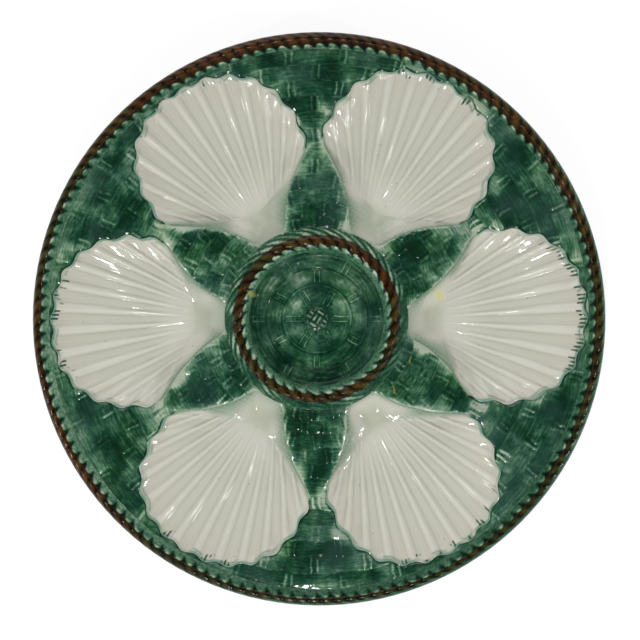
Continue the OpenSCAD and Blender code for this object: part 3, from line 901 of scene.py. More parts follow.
@dataclass(frozen=True)
class ShellWell:
    """One oyster well: a fluted scallop shell with a raised lip, and its bulge underneath."""

    form: WellForm
    number: int
    rib_h: float = 1.0
    rib_share: float = 0.14
    flutes_per_lobe: int = 5
    flute_h: float = 0.09
    lip_h: float = 0.45
    soft_lip_h: float = 0.1
    slope_rows: int = 56
    lip_band: float = 4.0
    brushed: tuple = (1.0, 0.35, 0.3, 0.5, 0.3, 0.4)

    def inside(self, u: Array, v: Array, grid: dict) -> tuple:
        """Height of the bowl: its depth below the ground, ribs, fine flutes and the lip's bead.

        A rib is a bell curve across the lobe's number with a fine crease on each side; the
        bead is a bell curve across the distance from the outline.

        Args:
            u: Places along the well.
            v: Places across it.
            grid: x, y, share, angle, edge, fan mark and hinge mark of each point.

        Returns:
            Heights, and a dict of the fields that the glaze reads.
        """
        sizes, outline = self.form.sizes, self.form.outline
        edge, fan = grid["edge"], grid["fan"]
        at = partial(drift, grid["x"], grid["y"])
        lobe = outline.lobe_number(u, v)
        from_rib = np.abs((lobe - 0.5) - np.round(lobe - 0.5))
        ridge = bell(from_rib, self.rib_share)
        crease = bell(from_rib - 1.75 * self.rib_share, 0.06)
        end = smooth_step(np.abs(lobe), outline.lobes / 2 + 0.3, outline.lobes / 2 - 0.6)
        end = end * (0.55 + 0.45 * smooth_step(np.abs(lobe), 6.2, 4.0))
        grown = smooth_step(np.hypot(u - outline.rib_root_u, v), 16, 45) * end
        flute = 0.5 - 0.5 * np.cos(2 * math.pi * self.flutes_per_lobe * lobe)
        near_edge = smooth_step(edge, 20, 3) * (1 - 0.7 * ridge) * fan
        ribs = (ridge - 0.3 - 0.22 * crease) * grown * (0.35 + 0.65 * smooth_step(edge, 0.4, 4.0))
        fluted = flute * near_edge * smooth_step(np.hypot(u - outline.rib_root_u, v), 16, 45)
        bead_h = self.soft_lip_h + (self.lip_h - self.soft_lip_h) * smooth_step(fan, 0.35, 0.9)
        base = sizes.ground_z(np.hypot(u, v)) - 0.4
        depth = np.clip(self.form.depth(grid["share"], grid["angle"]), 0, 1)
        height = base + (sizes.floor_z - base) * depth + self.rib_h * ribs
        height = height - self.flute_h * fluted + (bead_h + 0.4) * bell(edge - 0.42, 0.55)
        # Greyer in the channels, where the glaze lies thicker; darker in the fine creases beside the
        # ribs, glaze pooled there and painted shade of the creases.
        pool = (0.6 * (1 - ridge) + 0.4 * crease) * grown + 0.3 * (flute - 0.5) * near_edge
        green_lip = smooth_step(edge, 1.1, 0.7) * (0.3 + 0.65 * smooth_step(at(17.0, 41), -0.7, 0.2))
        second = bell(edge - 1.6, 0.45) * smooth_step(at(12.0, 42), 0.0, 0.7)
        soft_w = 1.2 + 4.6 * smooth_step(at(30.0, 46), -0.8, 0.8)
        ragged = edge + 0.25 * at(1.7, 44) * soft_w ** 0.5
        bleed = 0.95 * bell(np.clip(ragged, 0, None), soft_w, 1.2)
        reach = smooth_step(np.abs(lobe - 0.4 + 0.6 * at(14.0, 45)), 3.0, 2.1)
        busy = 1.6 * self.brushed[self.number - 1]
        reach = reach * smooth_step(at(8.0, 47), 0.9 - busy, 1.4 - busy)
        dab = reach * smooth_step(np.abs(lobe - np.round(lobe)), 0.44, 0.34)
        return height, {
            "pool": np.clip(pool, 0, 1), "edge": np.clip(edge, -1, 30), "lobe": lobe,
            "hollow": bell(u - 50.5, 6.2, 4) * bell(v, 7.0, 4), "lip": green_lip * fan,
            "stain": np.maximum(0.6 * second, 0.7 * dab * smooth_step(edge, 1.7, 0.9)) * fan,
            "bleed": bleed * (1 - smooth_step(fan, 0.2, 1.0)) * (1 - 0.5 * grid["hinge"]),
            "rimward": dab * fan,
        }

    def build(self) -> Piece:
        """Builds the closed surface: inside rows from the deepest place out, wall, underside.

        Returns:
            The piece, turned to its place round the plate.
        """
        edge, outline = self.form.edge, self.form.outline
        reach = edge["radius"] * edge["slant"]
        slope = np.linspace(0, 1, self.slope_rows + 1)[:, None] * (1 - self.lip_band / reach)
        bead = np.array([3.4, 2.9, 2.4, 2.0, 1.7, 1.4, 1.15, 0.9, 0.7, 0.5, 0.3, 0.12, 0.0])
        top = np.concatenate([slope, 1 - bead[:, None] / reach])
        under = np.array([1, 0.97, 0.93, 0.87, 0.8, 0.7, 0.6, 0.5, 0.4, 0.3, 0.2, 0.1, 0])
        share = np.concatenate([top, under[:, None] + 0 * reach])
        arm = edge["points"] - [outline.deep_u, 0]
        u, v = outline.deep_u + share * arm[:, 0], share * arm[:, 1]
        x, y = turned(u, v, self.form.sizes.well_turn * (self.number - 1))
        grid = {name: edge[name] + 0 * share for name in ("angle", "fan", "hinge")}
        grid.update(x=x, y=y, share=share, edge=(1 - share) * reach)
        height, fields = self.inside(u, v, grid)
        below = np.arange(len(share)) >= len(top)
        height[below] = self.form.underside(u[below], v[below]) - 0.05
        fields["back"] = below[:, None] + 0 * share
        return Piece.capped(f"shell_{self.number}", np.stack([x, y, height], -1), fields)


@dataclass(frozen=True)
class WovenGround:
    """Basket-weave ground in the gap after one well, either the outer panel or the inner pad."""

    form: WellForm
    weave: Weave
    number: int
    outer: bool
    row_mm: float = 0.36
    panel_columns: int = 340
    pad_columns: int = 190
    tone: float = 0.55
    crest_pale: float = 0.18
    bar_pale: float = 0.36
    pad_bar_darker: float = 0.18
    petal_dark: float = 0.15
    shoulder_pale: float = 0.62
    lip_foot_pool_and_shade: float = 0.38
    thin_pale: float = 0.32
    rim_pale: float = 0.13
    rope_pale: float = 0.18
    neck_r: float = 80.5

    def pool(self, x: Array, y: Array, woven: tuple, place: dict) -> Array:
        """How dark the ground is painted: glaze pooled by the weave, thin on the shoulders and necks,
        and a dark line at the fans, glaze pooled at the lip's foot with painted shade of the lip.

        Args:
            x: Places across the plate, in millimetres.
            y: Places up the plate.
            woven: Height of the weave, how much of a bar, and how much darker.
            place: Where the points lie in the plan of the nearest well.

        Returns:
            The pool field.
        """
        sizes = self.form.sizes
        relief, bar, dark = woven
        r, outside = np.hypot(x, y), -place["edge"]
        at = partial(drift, x, y)
        shoulder = 1 - smooth_step(place["fan"], 0.3, 0.9)
        worn = np.clip(outside + 0.25 * at(7.0, 31) + 0.25 * at(2.0, 32), 0, None)
        width = 0.8 + 2.4 * smooth_step(at(30.0, 46), -0.5, 1.0)
        pale = shoulder * (0.6 * bell(worn, width, 1.3) + 0.25 * bell(outside, 0.55))
        thin = smooth_step(at(19.0, 34), 0.3, 1.2) * smooth_step(outside, 10.0, 2.0)
        thin = np.maximum(thin, bell(r - self.neck_r, 6.0) * (1.0 + 0.35 * at(8.0, 36)))
        # Dark line just outside the fan's lip: glaze pooled at its foot, and painted shade of the lip.
        line = (1 - shoulder) * smooth_step(outside, 0.95, 0.35) * (0.6 + 0.4 * at(9.0, 35))
        petal = smooth_step(outside, 1.0, 7.0) * smooth_step(r, sizes.rim_in_r, sizes.rim_in_r - 9)
        crest = relief / (sizes.weave_swell + 0.1)
        bar_pale = self.bar_pale - self.pad_bar_darker * smooth_step(r, 84.0, 76.0)
        pool = self.tone - self.crest_pale * crest - bar_pale * bar + dark + self.petal_dark * petal
        pool = pool - self.shoulder_pale * pale + self.lip_foot_pool_and_shade * line
        pool = pool - self.thin_pale * thin * (1 - line)
        pool = pool - self.rim_pale * smooth_step(sizes.rim_in_r - r, 4.0, 0.6)
        return pool - self.rope_pale * smooth_step(r - sizes.centre_out_r, 3.2, 0.8)

    def build(self) -> Piece:
        """Builds a closed slab over the sector, leaving out the cells inside the wells.

        The weave fades out within a millimetre of a shell, where the ground was tooled flat,
        and the slab dips under the shell's lip.

        Returns:
            The piece.
        """
        sizes = self.form.sizes
        if self.outer:
            name, low, high = "panel", sizes.split_r, sizes.rim_in_r + 0.35
        else:
            name, low, high = "pad", sizes.centre_out_r - 0.4, sizes.split_r
        columns = self.panel_columns if self.outer else self.pad_columns
        r = np.linspace(low, high, int((high - low) / self.row_mm) + 1)[:, None]
        theta = np.linspace(0, sizes.well_turn, columns + 1) + sizes.well_turn * (self.number - 1)
        x, y, kept = self.form.clear(*plan(r, theta), wrap=False)
        r = np.hypot(x, y)
        theta = theta + 0 * r
        place = self.form.locate(x, y)
        outside = -place["edge"]
        woven = self.weave.relief(r, theta)
        tooled = smooth_step(outside, 0.1, 1.3)
        seat = smooth_step(sizes.rim_in_r - r, 0.0, 1.0) * smooth_step(r - sizes.centre_out_r, 0.7, 2.0)
        height = sizes.ground_z(r) + woven[0] * tooled * seat - 0.12 * (1 - tooled)
        height = height - 0.64 * smooth_step(-outside, 0.0, 0.3)
        heights = (height, sizes.ground_z(r) - sizes.weave_t)
        fields = {"pool": self.pool(x, y, woven, place), "polar": unrolled(r, theta, 80)}
        return Piece.slab(f"{name}_{self.number}", (x, y), heights, kept, fields, False)


@dataclass(frozen=True)
class RopeRing:
    """Twisted rope laid in a ring in low relief, brushed brown along its crown.

    The tables by angle say where the brown starts and ends, how red it is, and how thin the
    green is inside it.
    """

    name: str
    in_r: float
    crest_r: float
    out_r: float
    height: float
    seat_z: float
    strands: int
    per_strand: int
    soft_foot: Foot
    groove: float
    run_radii: tuple
    run_on: tuple
    tip_foot_r: float
    tip_pale_w: float
    tip_round: float
    tip_tone: float
    streak_tone: float
    paint_tooth: float
    angles: tuple
    paint_in_r: tuple
    paint_out_r: tuple
    warmth: tuple
    thinned: tuple
    seed: int

    def section(self, r: Array) -> Array:
        """Height of the plain rope over its seat.

        One side is a quarter ellipse; the soft side is the power 0.8 of a raised cosine, so
        its foot runs out into the ground.

        Args:
            r: Distances from the plate's centre.

        Returns:
            Heights in millimetres.
        """
        inward = np.clip((self.crest_r - r) / (self.crest_r - self.in_r), 0, 1)
        outward = np.clip((r - self.crest_r) / (self.out_r - self.crest_r), 0, 1)
        soft, steep = (inward, outward) if self.soft_foot is Foot.INNER else (outward, inward)
        return self.height * np.sqrt(1 - steep ** 2) * (0.5 + 0.5 * np.cos(math.pi * soft)) ** 0.8

    def build(self) -> Piece:
        """Builds the rope as a section carried round the ring, closed underneath.

        Each strand is a half circle across its own width, so neighbours meet in a cusp, and it
        runs on round the ring from the inner side to the outer one as run_on says. The green
        tips rise into the brown as a root of a sine, with brown teeth between them.

        Returns:
            The piece, with its paint mask: 1 where the brown lies.
        """
        t = np.sin(np.linspace(0, 1, 16) * math.pi / 2)
        inner = self.crest_r - (self.crest_r - self.in_r) * t[::-1]
        r = np.concatenate([inner, self.crest_r + (self.out_r - self.crest_r) * t[1:]])[None, :]
        theta = once_round(self.strands * self.per_strand)[:, None]
        at = partial(drift, *plan(r, theta))
        running = self.strands * theta / (2 * math.pi) - np.interp(r, self.run_radii, self.run_on)
        strand = np.floor(running).astype(int) % self.strands
        part = running - np.floor(running)
        wander = np.random.RandomState(self.seed).uniform(-1, 1, self.strands)[strand]
        hill = np.clip(np.sin(math.pi * part), 0, 1) ** self.tip_round
        round_top = np.sqrt(np.clip(1 - (2 * part - 1) ** 2, 0, 1))
        grooved = smooth_step(r - self.tip_foot_r, -0.3, 1.2) * smooth_step(self.out_r - r, 0.0, 1.0)
        up = self.section(r) - self.groove * (1 - round_top) * grooved * (1 + 0.2 * wander)
        start, end, warm, thinned = (
            np.interp(np.degrees(theta), self.angles, values, period=360)
            for values in (self.paint_in_r, self.paint_out_r, self.warmth, self.thinned)
        )
        start = start + self.paint_tooth * hill + 0.2 * wander + 0.25 * at(23.0, self.seed)
        end = end + 0.7 * (1 - hill) + 0.2 * wander + 0.2 * at(9.0, self.seed + 1)
        paint = smooth_step(r - start, -0.2, 0.2) * smooth_step(end - r, -0.35, 0.35)
        inside = start - r
        pale = smooth_step(inside, self.tip_pale_w + 0.5, 0.5 * self.tip_pale_w) * hill ** 2
        notch = (1 - hill) * smooth_step(inside, 1.3, 0.0)
        paler = 0.32 * (1 + 0.5 * at(5.0, self.seed + 2) + 0.35 * wander) - 0.1 * wander
        tips = self.tip_tone - pale * paler + 0.8 * notch - thinned * (1 - notch)
        way_out = np.clip((r - end) / (self.out_r - end + 0.01), 0, 1)
        bold = 0.6 + 0.3 * np.sin(theta) + 0.3 * wander + 0.35 * at(16.0, self.seed + 4)
        streak = bell(part - 0.62, 0.36 - 0.2 * way_out, 4) * np.clip(bold, 0, 1)
        streaks = (0.7 - self.streak_tone * streak) * (1 - way_out ** 2) + 0.42 * way_out ** 2
        green = np.where(r < self.crest_r, tips, streaks)
        valley = 1 - np.sin(math.pi * part)
        brown = 0.2 + 0.7 * valley + 0.2 * smooth_step(-inside, 1.2, 0.0) + 0.14 * wander
        pool = np.clip(green + (brown - green) * paint, 0, 1)
        fields = {
            name: np.concatenate([value, value[:, -1:], value[:, :1]], 1)
            for name, value in (("pool", pool), ("paint", paint), ("warm", warm + 0 * r))
        }
        x, y = plan(np.append(r, [self.out_r, self.in_r])[None, :], theta)
        z = self.seat_z + np.pad(up, ((0, 0), (0, 2)), constant_values=-0.3)
        return Piece.ring(self.name, np.stack([x, y, z], -1), fields, clockwise=True)


@dataclass(frozen=True)
class CastBody:
    """Cast body below the skins: rope seats, plain rim edge and the smooth underside."""

    form: WellForm
    columns: int = 720
    rows: int = 88
    last_row_r: float = 121.5
    turn_r: float = 121.9
    turn_z: float = 17.4
    edge_lift: float = 3.0
    edge_drop: float = 1.5

    def build(self) -> Piece:
        """Builds a closed slab from the centre rope's seat to the rim, open at the wells.

        The rim's edge is two quarter ellipses, a short one above and a longer one below.

        Returns:
            The piece.
        """
        sizes = self.form.sizes
        from_edge = np.array([3.0, 2.5, 2.0, 1.6, 1.25, 0.95, 0.7, 0.45, 0.25, 0.12, 0.04, 0])
        inner = np.linspace(sizes.centre_rope_r + 0.1, self.last_row_r, self.rows)
        r = np.concatenate([inner, sizes.plate_r - from_edge])[:, None]
        theta = once_round(self.columns)
        x, y, kept = self.form.clear(*plan(r, theta), wrap=True)
        ends = np.clip((r - sizes.rim_out_r) / sizes.edge_w, 0, 1)
        top = np.minimum(sizes.ground_z(r) - sizes.weave_t, sizes.rim_seat_z) + 0 * x
        top = np.where(r > sizes.rim_in_r - 0.5, sizes.rim_seat_z, top)
        top = np.where(r < sizes.centre_out_r, sizes.centre_seat_z, top)
        top = top - self.edge_drop * (1 - np.sqrt(1 - ends ** 2))
        low = np.clip((r - self.turn_r) / (sizes.plate_r - self.turn_r), 0, 1)
        rounded = self.turn_z + self.edge_lift * (1 - np.sqrt(1 - low ** 2))
        bottom = np.where(r > self.turn_r, rounded, self.form.underside(x, y))
        fields = {"pool": 0.42 + 0.25 * (1 - ends) + 0 * x, "polar": unrolled(r, theta, 80)}
        return Piece.slab("cast_body", (x, y), (top, bottom), kept, fields, True)


@dataclass(frozen=True)
class FootRing:
    """Ring that the plate stands on, run into the undersides of the wells."""

    form: WellForm
    columns: int = 720
    roof: float = 9.0

    def build(self) -> Piece:
        """Builds the ring: a section with rounded foot edges, as tall as the underside is high.

        Returns:
            The piece.
        """
        sizes, roof = self.form.sizes, self.roof
        across = np.array([-1, -1, -0.96, -0.84, -0.68, 0.68, 0.84, 0.96, 1, 1, 0.5, 0, -0.5])
        up = np.array([roof, 0.8, 0.35, 0.08, 0, 0, 0.08, 0.35, 0.8, roof, roof, roof, roof])
        theta = once_round(self.columns)[:, None]
        r = sizes.foot_r + sizes.foot_w / 2 * across
        x, y = plan(r, theta)
        z = np.where(up == roof, self.form.underside(x, y) + 1.2, up)
        fields = {"pool": np.where(up > 0.2, 0.45, 0.05) + 0 * x, "polar": unrolled(r, theta, 80)}
        return Piece.ring("turned_foot_ring", np.stack([x, y, z], -1), fields, clockwise=False)


@dataclass(frozen=True)
class SauceWell:
    """Sauce well in the middle: cup, two woven rings on its floor and a knot at the centre."""

    sizes: PlateSizes
    columns: int = 540
    knot_turn: float = 56.0
    knot_cell: float = 4.2
    thin_spots: tuple = (
        (58.0, 19.0, 5.0, 0.33), (112.0, 19.0, 6.0, 0.38), (2.0, 19.2, 3.4, 0.34),
        (24.0, 11.5, 2.8, 0.2), (152.0, 12.0, 3.2, 0.14), (208.0, 11.0, 2.6, 0.24),
        (330.0, 11.5, 3.0, 0.22), (270.0, 12.5, 2.6, 0.14), (215.0, 19.0, 4.6, 0.2),
    )

    def band(self, r: Array, theta: Array, low: float, high: float, turn: float) -> tuple:
        """Relief of one woven ring: a swell of fine circles with a pair of bars at each stake.

        Args:
            r: Distances from the centre.
            theta: Angles round it.
            low: Inner radius of the ring.
            high: Outer radius.
            turn: Angle of its first stake, in degrees.

        Returns:
            Height in millimetres, and how much of a bar each point is.
        """
        sizes = self.sizes
        f = np.clip((r - low) / (high - low), 0, 1)
        step = 2 * math.pi / sizes.ring_stakes
        off = ((theta - math.radians(turn) + step / 2) % step - step / 2) * r
        off = off + 0.1 * drift(*plan(r, theta), 6.0, 56)
        across = 0.45 + 0.55 * np.clip(np.sin(math.pi * f), 0, 1) ** 1.1
        fine = np.abs(np.sin(math.pi * f * (high - low) / 1.7)) ** 0.7
        ends = smooth_step(np.minimum(f, 1 - f), 0.04, 0.16)
        bar = bell(np.abs(off) - 0.42 * sizes.bar_pitch, 0.66 * sizes.bar_w) * ends
        gap = bell(off, 0.7, 4) * ends
        cloth = sizes.weave_swell * across - 0.12 * (1 - fine) * across
        return cloth * (1 - 0.12 * gap) * (1 - bar) + bar * 0.85 * sizes.weave_swell, bar

    def shade(self, r: Array, theta: Array, relief: Array, bar: Array) -> Array:
        """Pooling on the woven rings: crests and bars a little paler, thin spots much paler.

        Args:
            r: Distances from the centre.
            theta: Angles round it.
            relief: Height of the weave there.
            bar: How much of a bar each point is.

        Returns:
            The pool field.
        """
        sizes = self.sizes
        x, y = plan(r, theta)
        at = partial(drift, x, y)
        pool = 0.7 - 0.2 * relief / sizes.weave_swell
        pool = pool - 0.06 * smooth_step(r - sizes.inner_ring_r, 0, 0.5)
        pool = pool - bar * (0.24 + 0.14 * at(8.0, 51)) + bar * (1 - bar)
        for degrees, radius, size, share in self.thin_spots:
            spot_x, spot_y = plan(radius, math.radians(degrees))
            away = np.hypot(x - spot_x, y - spot_y)
            pool = pool - share * bell(away, size) * (1 + 0.15 * at(3.0, 52))
        for gap in (r - sizes.inner_ring_r, r - sizes.middle_ring_r):
            pool = pool - 0.22 * bell(gap + 0.35, 0.35) * (0.6 + 0.4 * at(7.0, 53))
            pool = pool + 0.15 * bell(gap - 0.35, 0.35)
        return pool

    def cup(self) -> Piece:
        """Builds the cup: a profile carried round, woven on the slope outside the two rings.

        Returns:
            The piece.
        """
        sizes = self.sizes
        r_top = np.concatenate([np.linspace(0, 20, 8), np.linspace(20.4, 31, 56), [32, 34.3]])
        rise = np.interp(r_top, [0, 22.5, 25.0, 28.3, 28.9, 29.5, 30.2, 31.2, 40],
                         [0, 0.4, 0.7, 1.3, 1.8, 3.5, 6.1, 7.3, 7.4])
        rise[8:-2] = np.convolve(rise, [0.25, 0.5, 0.25], "same")[8:-2]
        r = np.concatenate([r_top, [34.3, 33.0, 31.2, 27.0, 22.5, 8.0, 0]])[:, None]
        z = np.concatenate([sizes.floor_z + rise, [10.6, 9.6, 7.9, 5.6, 4.4, 4.05, 4.0]])
        theta = once_round(self.columns)
        x, y = plan(r, theta)
        height = z[:, None] + 0 * x
        top, r_top = slice(0, len(r_top)), r_top[:, None]
        relief, bar = self.band(r_top, theta, sizes.middle_ring_r + 0.1, 29.2, 0.0)
        inside = smooth_step(r_top, 22.4, 22.9) * smooth_step(r_top, 30.2, 28.8)
        wavy = smooth_step(r_top, 23.0, 25.0) * smooth_step(r_top, 31.0, 29.8)
        height[top] += 0.9 * relief * inside + 0.07 * drift(x[top], y[top], 3.2, 55) * wavy
        pool = np.full(height.shape, 0.55)
        plain = 0.5 - 0.2 * np.cos(theta - math.radians(190))
        pool[top] = self.shade(r_top, theta, relief, bar) * inside + plain * (1 - inside)
        fields = {"pool": pool, "polar": unrolled(r, theta, 25)}
        return Piece.capped("sauce_cup", np.stack([x, y, height], -1), fields)

    def rings(self) -> Piece:
        """Builds the two woven rings as one closed ring section.

        Returns:
            The piece.
        """
        sizes = self.sizes
        low, high = sizes.knot_r + 0.2, sizes.middle_ring_r
        r = np.linspace(low, high, 62)
        theta = once_round(self.columns)[:, None]
        inner = self.band(r, theta, low, sizes.inner_ring_r, 0.0)
        outer = self.band(r, theta, sizes.inner_ring_r, high, 30.0)
        relief, bar = (np.where(r < sizes.inner_ring_r, a, b) for a, b in zip(inner, outer))
        top = sizes.floor_z + sizes.floor_rise * r / sizes.middle_ring_r + 0.05 + relief
        z = np.pad(top, ((0, 0), (0, 2)), constant_values=sizes.floor_z - 0.4)
        pool = np.pad(self.shade(r, theta, relief, bar), ((0, 0), (0, 2)), constant_values=0.8)
        r = np.append(r, [high, low])
        grid = np.stack([*plan(r, theta), z], -1)
        return Piece.ring("woven_rings", grid, {"pool": pool, "polar": unrolled(r, theta, 25)}, True)

    def knot(self) -> Piece:
        """Builds the knot: a checkerboard of short strip pairs, turned by a quarter in turn.

        Returns:
            The piece.
        """
        sizes = self.sizes
        share = np.concatenate([np.linspace(0, 1, 34), [1.0, 0.5, 0]])[:, None]
        r, theta = sizes.knot_r * share, once_round(self.columns // 3)
        x, y = plan(r, theta)
        p, q = turned(x / self.knot_cell, y / self.knot_cell, -math.radians(self.knot_turn))
        odd = (np.round(p) + np.round(q)) % 2 == 1
        p, q = p - np.round(p), q - np.round(q)
        along, aside = np.where(odd, q, p), np.where(odd, p, q)
        strip = bell(np.abs(aside) - 0.24, 0.15) * smooth_step(np.abs(along), 0.5, 0.3)
        relief = strip * (1 - along ** 2)
        dome = smooth_step(share, 1.0, 0.75)
        height = sizes.floor_z + 0.2 + dome * (0.35 + (sizes.knot_h - 0.95) * relief)
        height[-3:] = sizes.floor_z - 0.3
        # The strips are painted paler, thin glaze on their crests and a painted highlight on them;
        # darker between them.
        pool = 0.72 + 0.14 * dome - 0.8 * relief * dome + 0.1 * drift(x, y, 3.0, 54)
        fields = {"pool": pool, "polar": unrolled(r, theta, 8)}
        return Piece.capped("centre_knot_top", np.stack([x, y, height], -1), fields)


@dataclass(frozen=True)
class Studio:
    """Pale floor, plain soft light and the camera above the plate."""

    lens: float = 61.74
    sensor: float = 36.0
    camera_at: tuple = (27.5, 0.0, 499.2)
    look_at: tuple = (0.84, -0.53, 0.0)
    dome: float = 0.6
    ceiling: float = 0.1
    floor_size: float = 6.0
    floor_drop: float = 0.0002
    floor_tone: float = 0.8
    shown_tone: float = 0.22
    glow: float = 0.87
    lamps: tuple = (
        ("key", (-0.08, -0.72, 0.75), (0.05, 0.24), 3.0),
        ("left_window", (-0.75, -0.4, 0.62), (0.04, 0.18), 2.2),
        ("right_window", (0.75, -0.3, 0.62), (0.04, 0.18), 2.0),
        ("back_panel", (-0.1, 1.0, 0.6), (0.9, 0.9), 4.4),
    )

    def floor(self) -> None:
        """Lays a pale floor that shows white to the camera and still keeps the plate's shadow."""
        bpy.ops.mesh.primitive_plane_add(size=self.floor_size, location=(0, 0, -self.floor_drop))
        floor = bpy.context.object
        floor.name = "floor"
        material = bpy.data.materials.new("pale matt floor")
        add = fresh_tree(material)
        matt, faint = (
            add("BsdfDiffuse", {"Color": (tone, tone, tone, 1)})
            for tone in (self.floor_tone, self.shown_tone)
        )
        glow = add("Emission", {"Color": (1, 1, 1, 1), "Strength": self.glow})
        shown = add("AddShader", {0: faint, 1: glow})
        seen = add("LightPath", {}, "Is Camera Ray")
        for kind in ("Is Glossy Ray", "Is Transmission Ray"):
            seen = add("Math", {0: seen, 1: add("LightPath", {}, kind)}, operation="MAXIMUM")
        add("OutputMaterial", {"Surface": add("MixShader", {0: seen, 1: matt, 2: shown})})
        floor.data.materials.append(material)

    def light(self) -> None:
        """Sets a soft dome, dimmer straight above, three small windows and a soft back panel."""
        world = bpy.data.worlds.new("soft dome")
        bpy.context.scene.world = world
        add = fresh_tree(world)
        up = add("SeparateXYZ", {0: add("TexCoord", {}, "Generated")}, "Z")
        span = {"From Min": 0.5, "From Max": 0.8, "To Min": self.dome, "To Max": self.ceiling}
        level = add("MapRange", {"Value": up, **span}, interpolation_type="SMOOTHSTEP")
        soft, white = (
            add("Background", {"Color": (1, 1, 1, 1), "Strength": strength}) for strength in (level, 1.0)
        )
        camera, glossy, through = (
            add("LightPath", {}, f"Is {kind} Ray") for kind in ("Camera", "Glossy", "Transmission")
        )
        mirrored = add("Math", {0: glossy, 1: through}, operation="MAXIMUM")
        low = add("MapRange", {"Value": up, "From Min": 0.3, "From Max": 0.15})
        backdrop = add("Math", {0: mirrored, 1: low}, operation="MULTIPLY")
        seen = add("Math", {0: camera, 1: backdrop}, operation="MAXIMUM")
        add("OutputWorld", {"Surface": add("MixShader", {0: seen, 1: soft, 2: white})})
        for name, spot, size, power in self.lamps:
            lamp = bpy.data.lights.new(name, "AREA")
            lamp.energy = power
            lamp.shape = "RECTANGLE"
            lamp.size, lamp.size_y = size
            thing = bpy.data.objects.new(name, lamp)
            bpy.context.scene.collection.objects.link(thing)
            thing.location = spot
            thing.rotation_euler = (-Vector(spot)).to_track_quat("-Z", "Y").to_euler()

    def camera(self) -> None:
        """Places the camera a little to the right of the plate's axis, half a metre above it."""
        lens = bpy.data.cameras.new("camera")
        lens.lens = self.lens
        lens.sensor_width = self.sensor
        lens.clip_start = 0.01
        eye = bpy.data.objects.new("camera", lens)
        bpy.context.scene.collection.objects.link(eye)
        eye.location = Vector(self.camera_at) * MM
        aim = (Vector(self.look_at) - Vector(self.camera_at)) * MM
        side = aim.cross(Vector((0, 1, 0))).normalized()
        upward = side.cross(aim).normalized()
        eye.rotation_mode = "QUATERNION"
        turn = np.array([side, upward, -aim.normalized()]).T
        eye.rotation_quaternion = Matrix(turn.tolist()).to_quaternion()
        bpy.context.scene.camera = eye

    def build(self) -> None:
        """Builds floor, light and camera, and sets the plain view transform."""
        self.floor()
        self.light()
        self.camera()
        bpy.context.scene.view_settings.view_transform = "Standard"


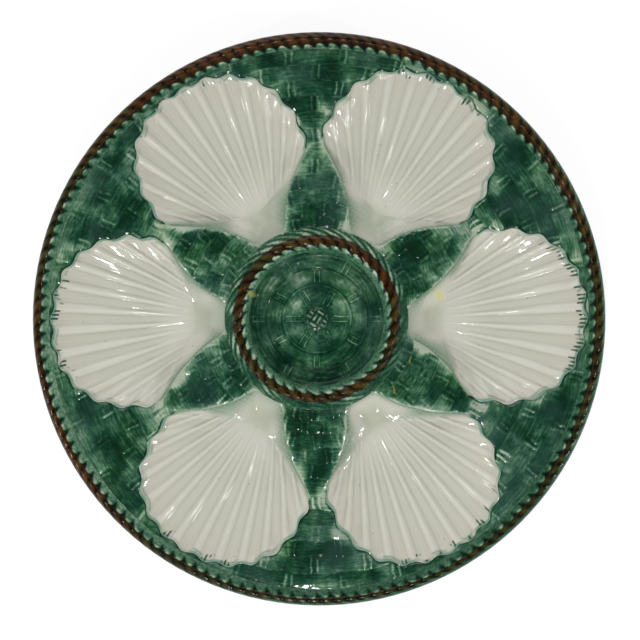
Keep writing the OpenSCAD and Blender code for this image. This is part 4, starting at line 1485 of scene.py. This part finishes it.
def main() -> None:
    """Builds the studio and every piece of the plate."""
    logging.basicConfig(level=logging.INFO, format="%(name)s: %(message)s")
    sizes = PlateSizes()
    form = WellForm(sizes, ShellOutline(sizes))
    weave = Weave(sizes)
    # One green on the ground, less glossy in the shaded cup, and a little thinner on the back
    green = GreenGlaze("copper green glaze").build()
    calm = GreenGlaze("copper green glaze in the sauce well", gloss=0.2).build()
    back = GreenGlaze("copper green glaze on the back", pool_shift=-0.05).build()
    cream = ShellGlaze("cream glaze").build()
    brown = RopeGlaze("iron brown glaze").build()
    Studio().build()
    CastBody(form).build().settle(back, Slot.GREEN, "plate_body")
    FootRing(form).build().settle(back, Slot.GREEN, "foot_ring")
    for n in range(1, sizes.wells + 1):
        ShellWell(form, n).build().settle(cream, Slot.CREAM, f"shell_well_{n}")
        WovenGround(form, weave, n, True).build().settle(green, Slot.GREEN, f"weave_panel_{n}")
        WovenGround(form, weave, n, False).build().settle(green, Slot.GREEN, f"weave_pad_{n}")
    RopeRing(
        name="rim_rope_twist", in_r=sizes.rim_in_r - 0.6, crest_r=121.4, out_r=124.7,
        height=sizes.rim_rope_h, seat_z=sizes.rim_seat_z, strands=sizes.rim_strands,
        per_strand=14, soft_foot=Foot.INNER, groove=0.4,
        run_radii=(117.7, 121.0, 122.5, 123.5, 124.4), run_on=(0.0, 0.35, 0.6, 1.0, 1.6),
        tip_foot_r=119.2, tip_pale_w=0.5, tip_round=0.8, tip_tone=0.44, streak_tone=0.38,
        paint_tooth=1.1, angles=(0, 25, 60, 80, 110, 140, 165, 190, 215, 240, 270, 300, 330),
        paint_in_r=(118.7, 118.5, 118.5, 118.3, 118.2, 119.1, 119.5, 119.5, 119.5, 119.5, 119.6,
                    119.6, 119.0),
        paint_out_r=(122.7, 122.9, 123.6, 126.0, 126.0, 126.0, 124.9, 126.0, 125.6, 123.4, 122.6,
                     122.4, 122.4),
        warmth=(0.3, 0.55, 0.7, 1.0, 1.0, 0.4, 0.05, 0.8, 0.9, 0.1, 0.0, 0.0, 0.0),
        thinned=(0.0, 0.03, 0.14, 0.12, 0.08, 0.08, 0.14, 0.24, 0.24, 0.14, 0.04, 0.0, 0.0),
        seed=3,
    ).build().settle(brown, Slot.BROWN, "rim_rope")
    RopeRing(
        name="centre_rope_twist", in_r=sizes.centre_rope_r - sizes.centre_rope_w / 2, crest_r=34.5,
        out_r=sizes.centre_out_r + 1.4, height=sizes.centre_rope_h,
        seat_z=sizes.centre_seat_z, strands=sizes.centre_strands, per_strand=30,
        soft_foot=Foot.OUTER, groove=0.7,
        run_radii=(29.6, 31.1, 33.0, 36.7, 38.1, 40.5), run_on=(-0.3, 0.0, 0.38, 1.14, 1.5, 2.7),
        tip_foot_r=31.0, tip_pale_w=1.3, tip_round=0.55, tip_tone=0.36, streak_tone=0.85,
        paint_tooth=1.5, angles=(0, 25, 60, 100, 140, 190, 240, 300, 330),
        paint_in_r=(31.9, 31.9, 31.5, 31.0, 30.9, 31.2, 31.3, 31.5, 31.9),
        paint_out_r=(36.8, 37.0, 37.0, 36.5, 36.3, 36.1, 36.3, 36.7, 36.8),
        warmth=(0.3, 1.0, 1.0, 0.6, 0.4, 0.4, 0.45, 0.5, 0.2),
        thinned=(0.0, 0.0, 0.0, 0.0, 0.06, 0.06, 0.04, 0.0, 0.0), seed=5,
    ).build().settle(brown, Slot.BROWN, "centre_rope")
    sauce = SauceWell(sizes)
    sauce.cup().settle(calm, Slot.GREEN, "centre_well")
    sauce.rings().settle(calm, Slot.GREEN, "centre_weave")
    sauce.knot().settle(green, Slot.PALE_GREEN, "centre_knot")


if __name__ == "__main__":
    main()
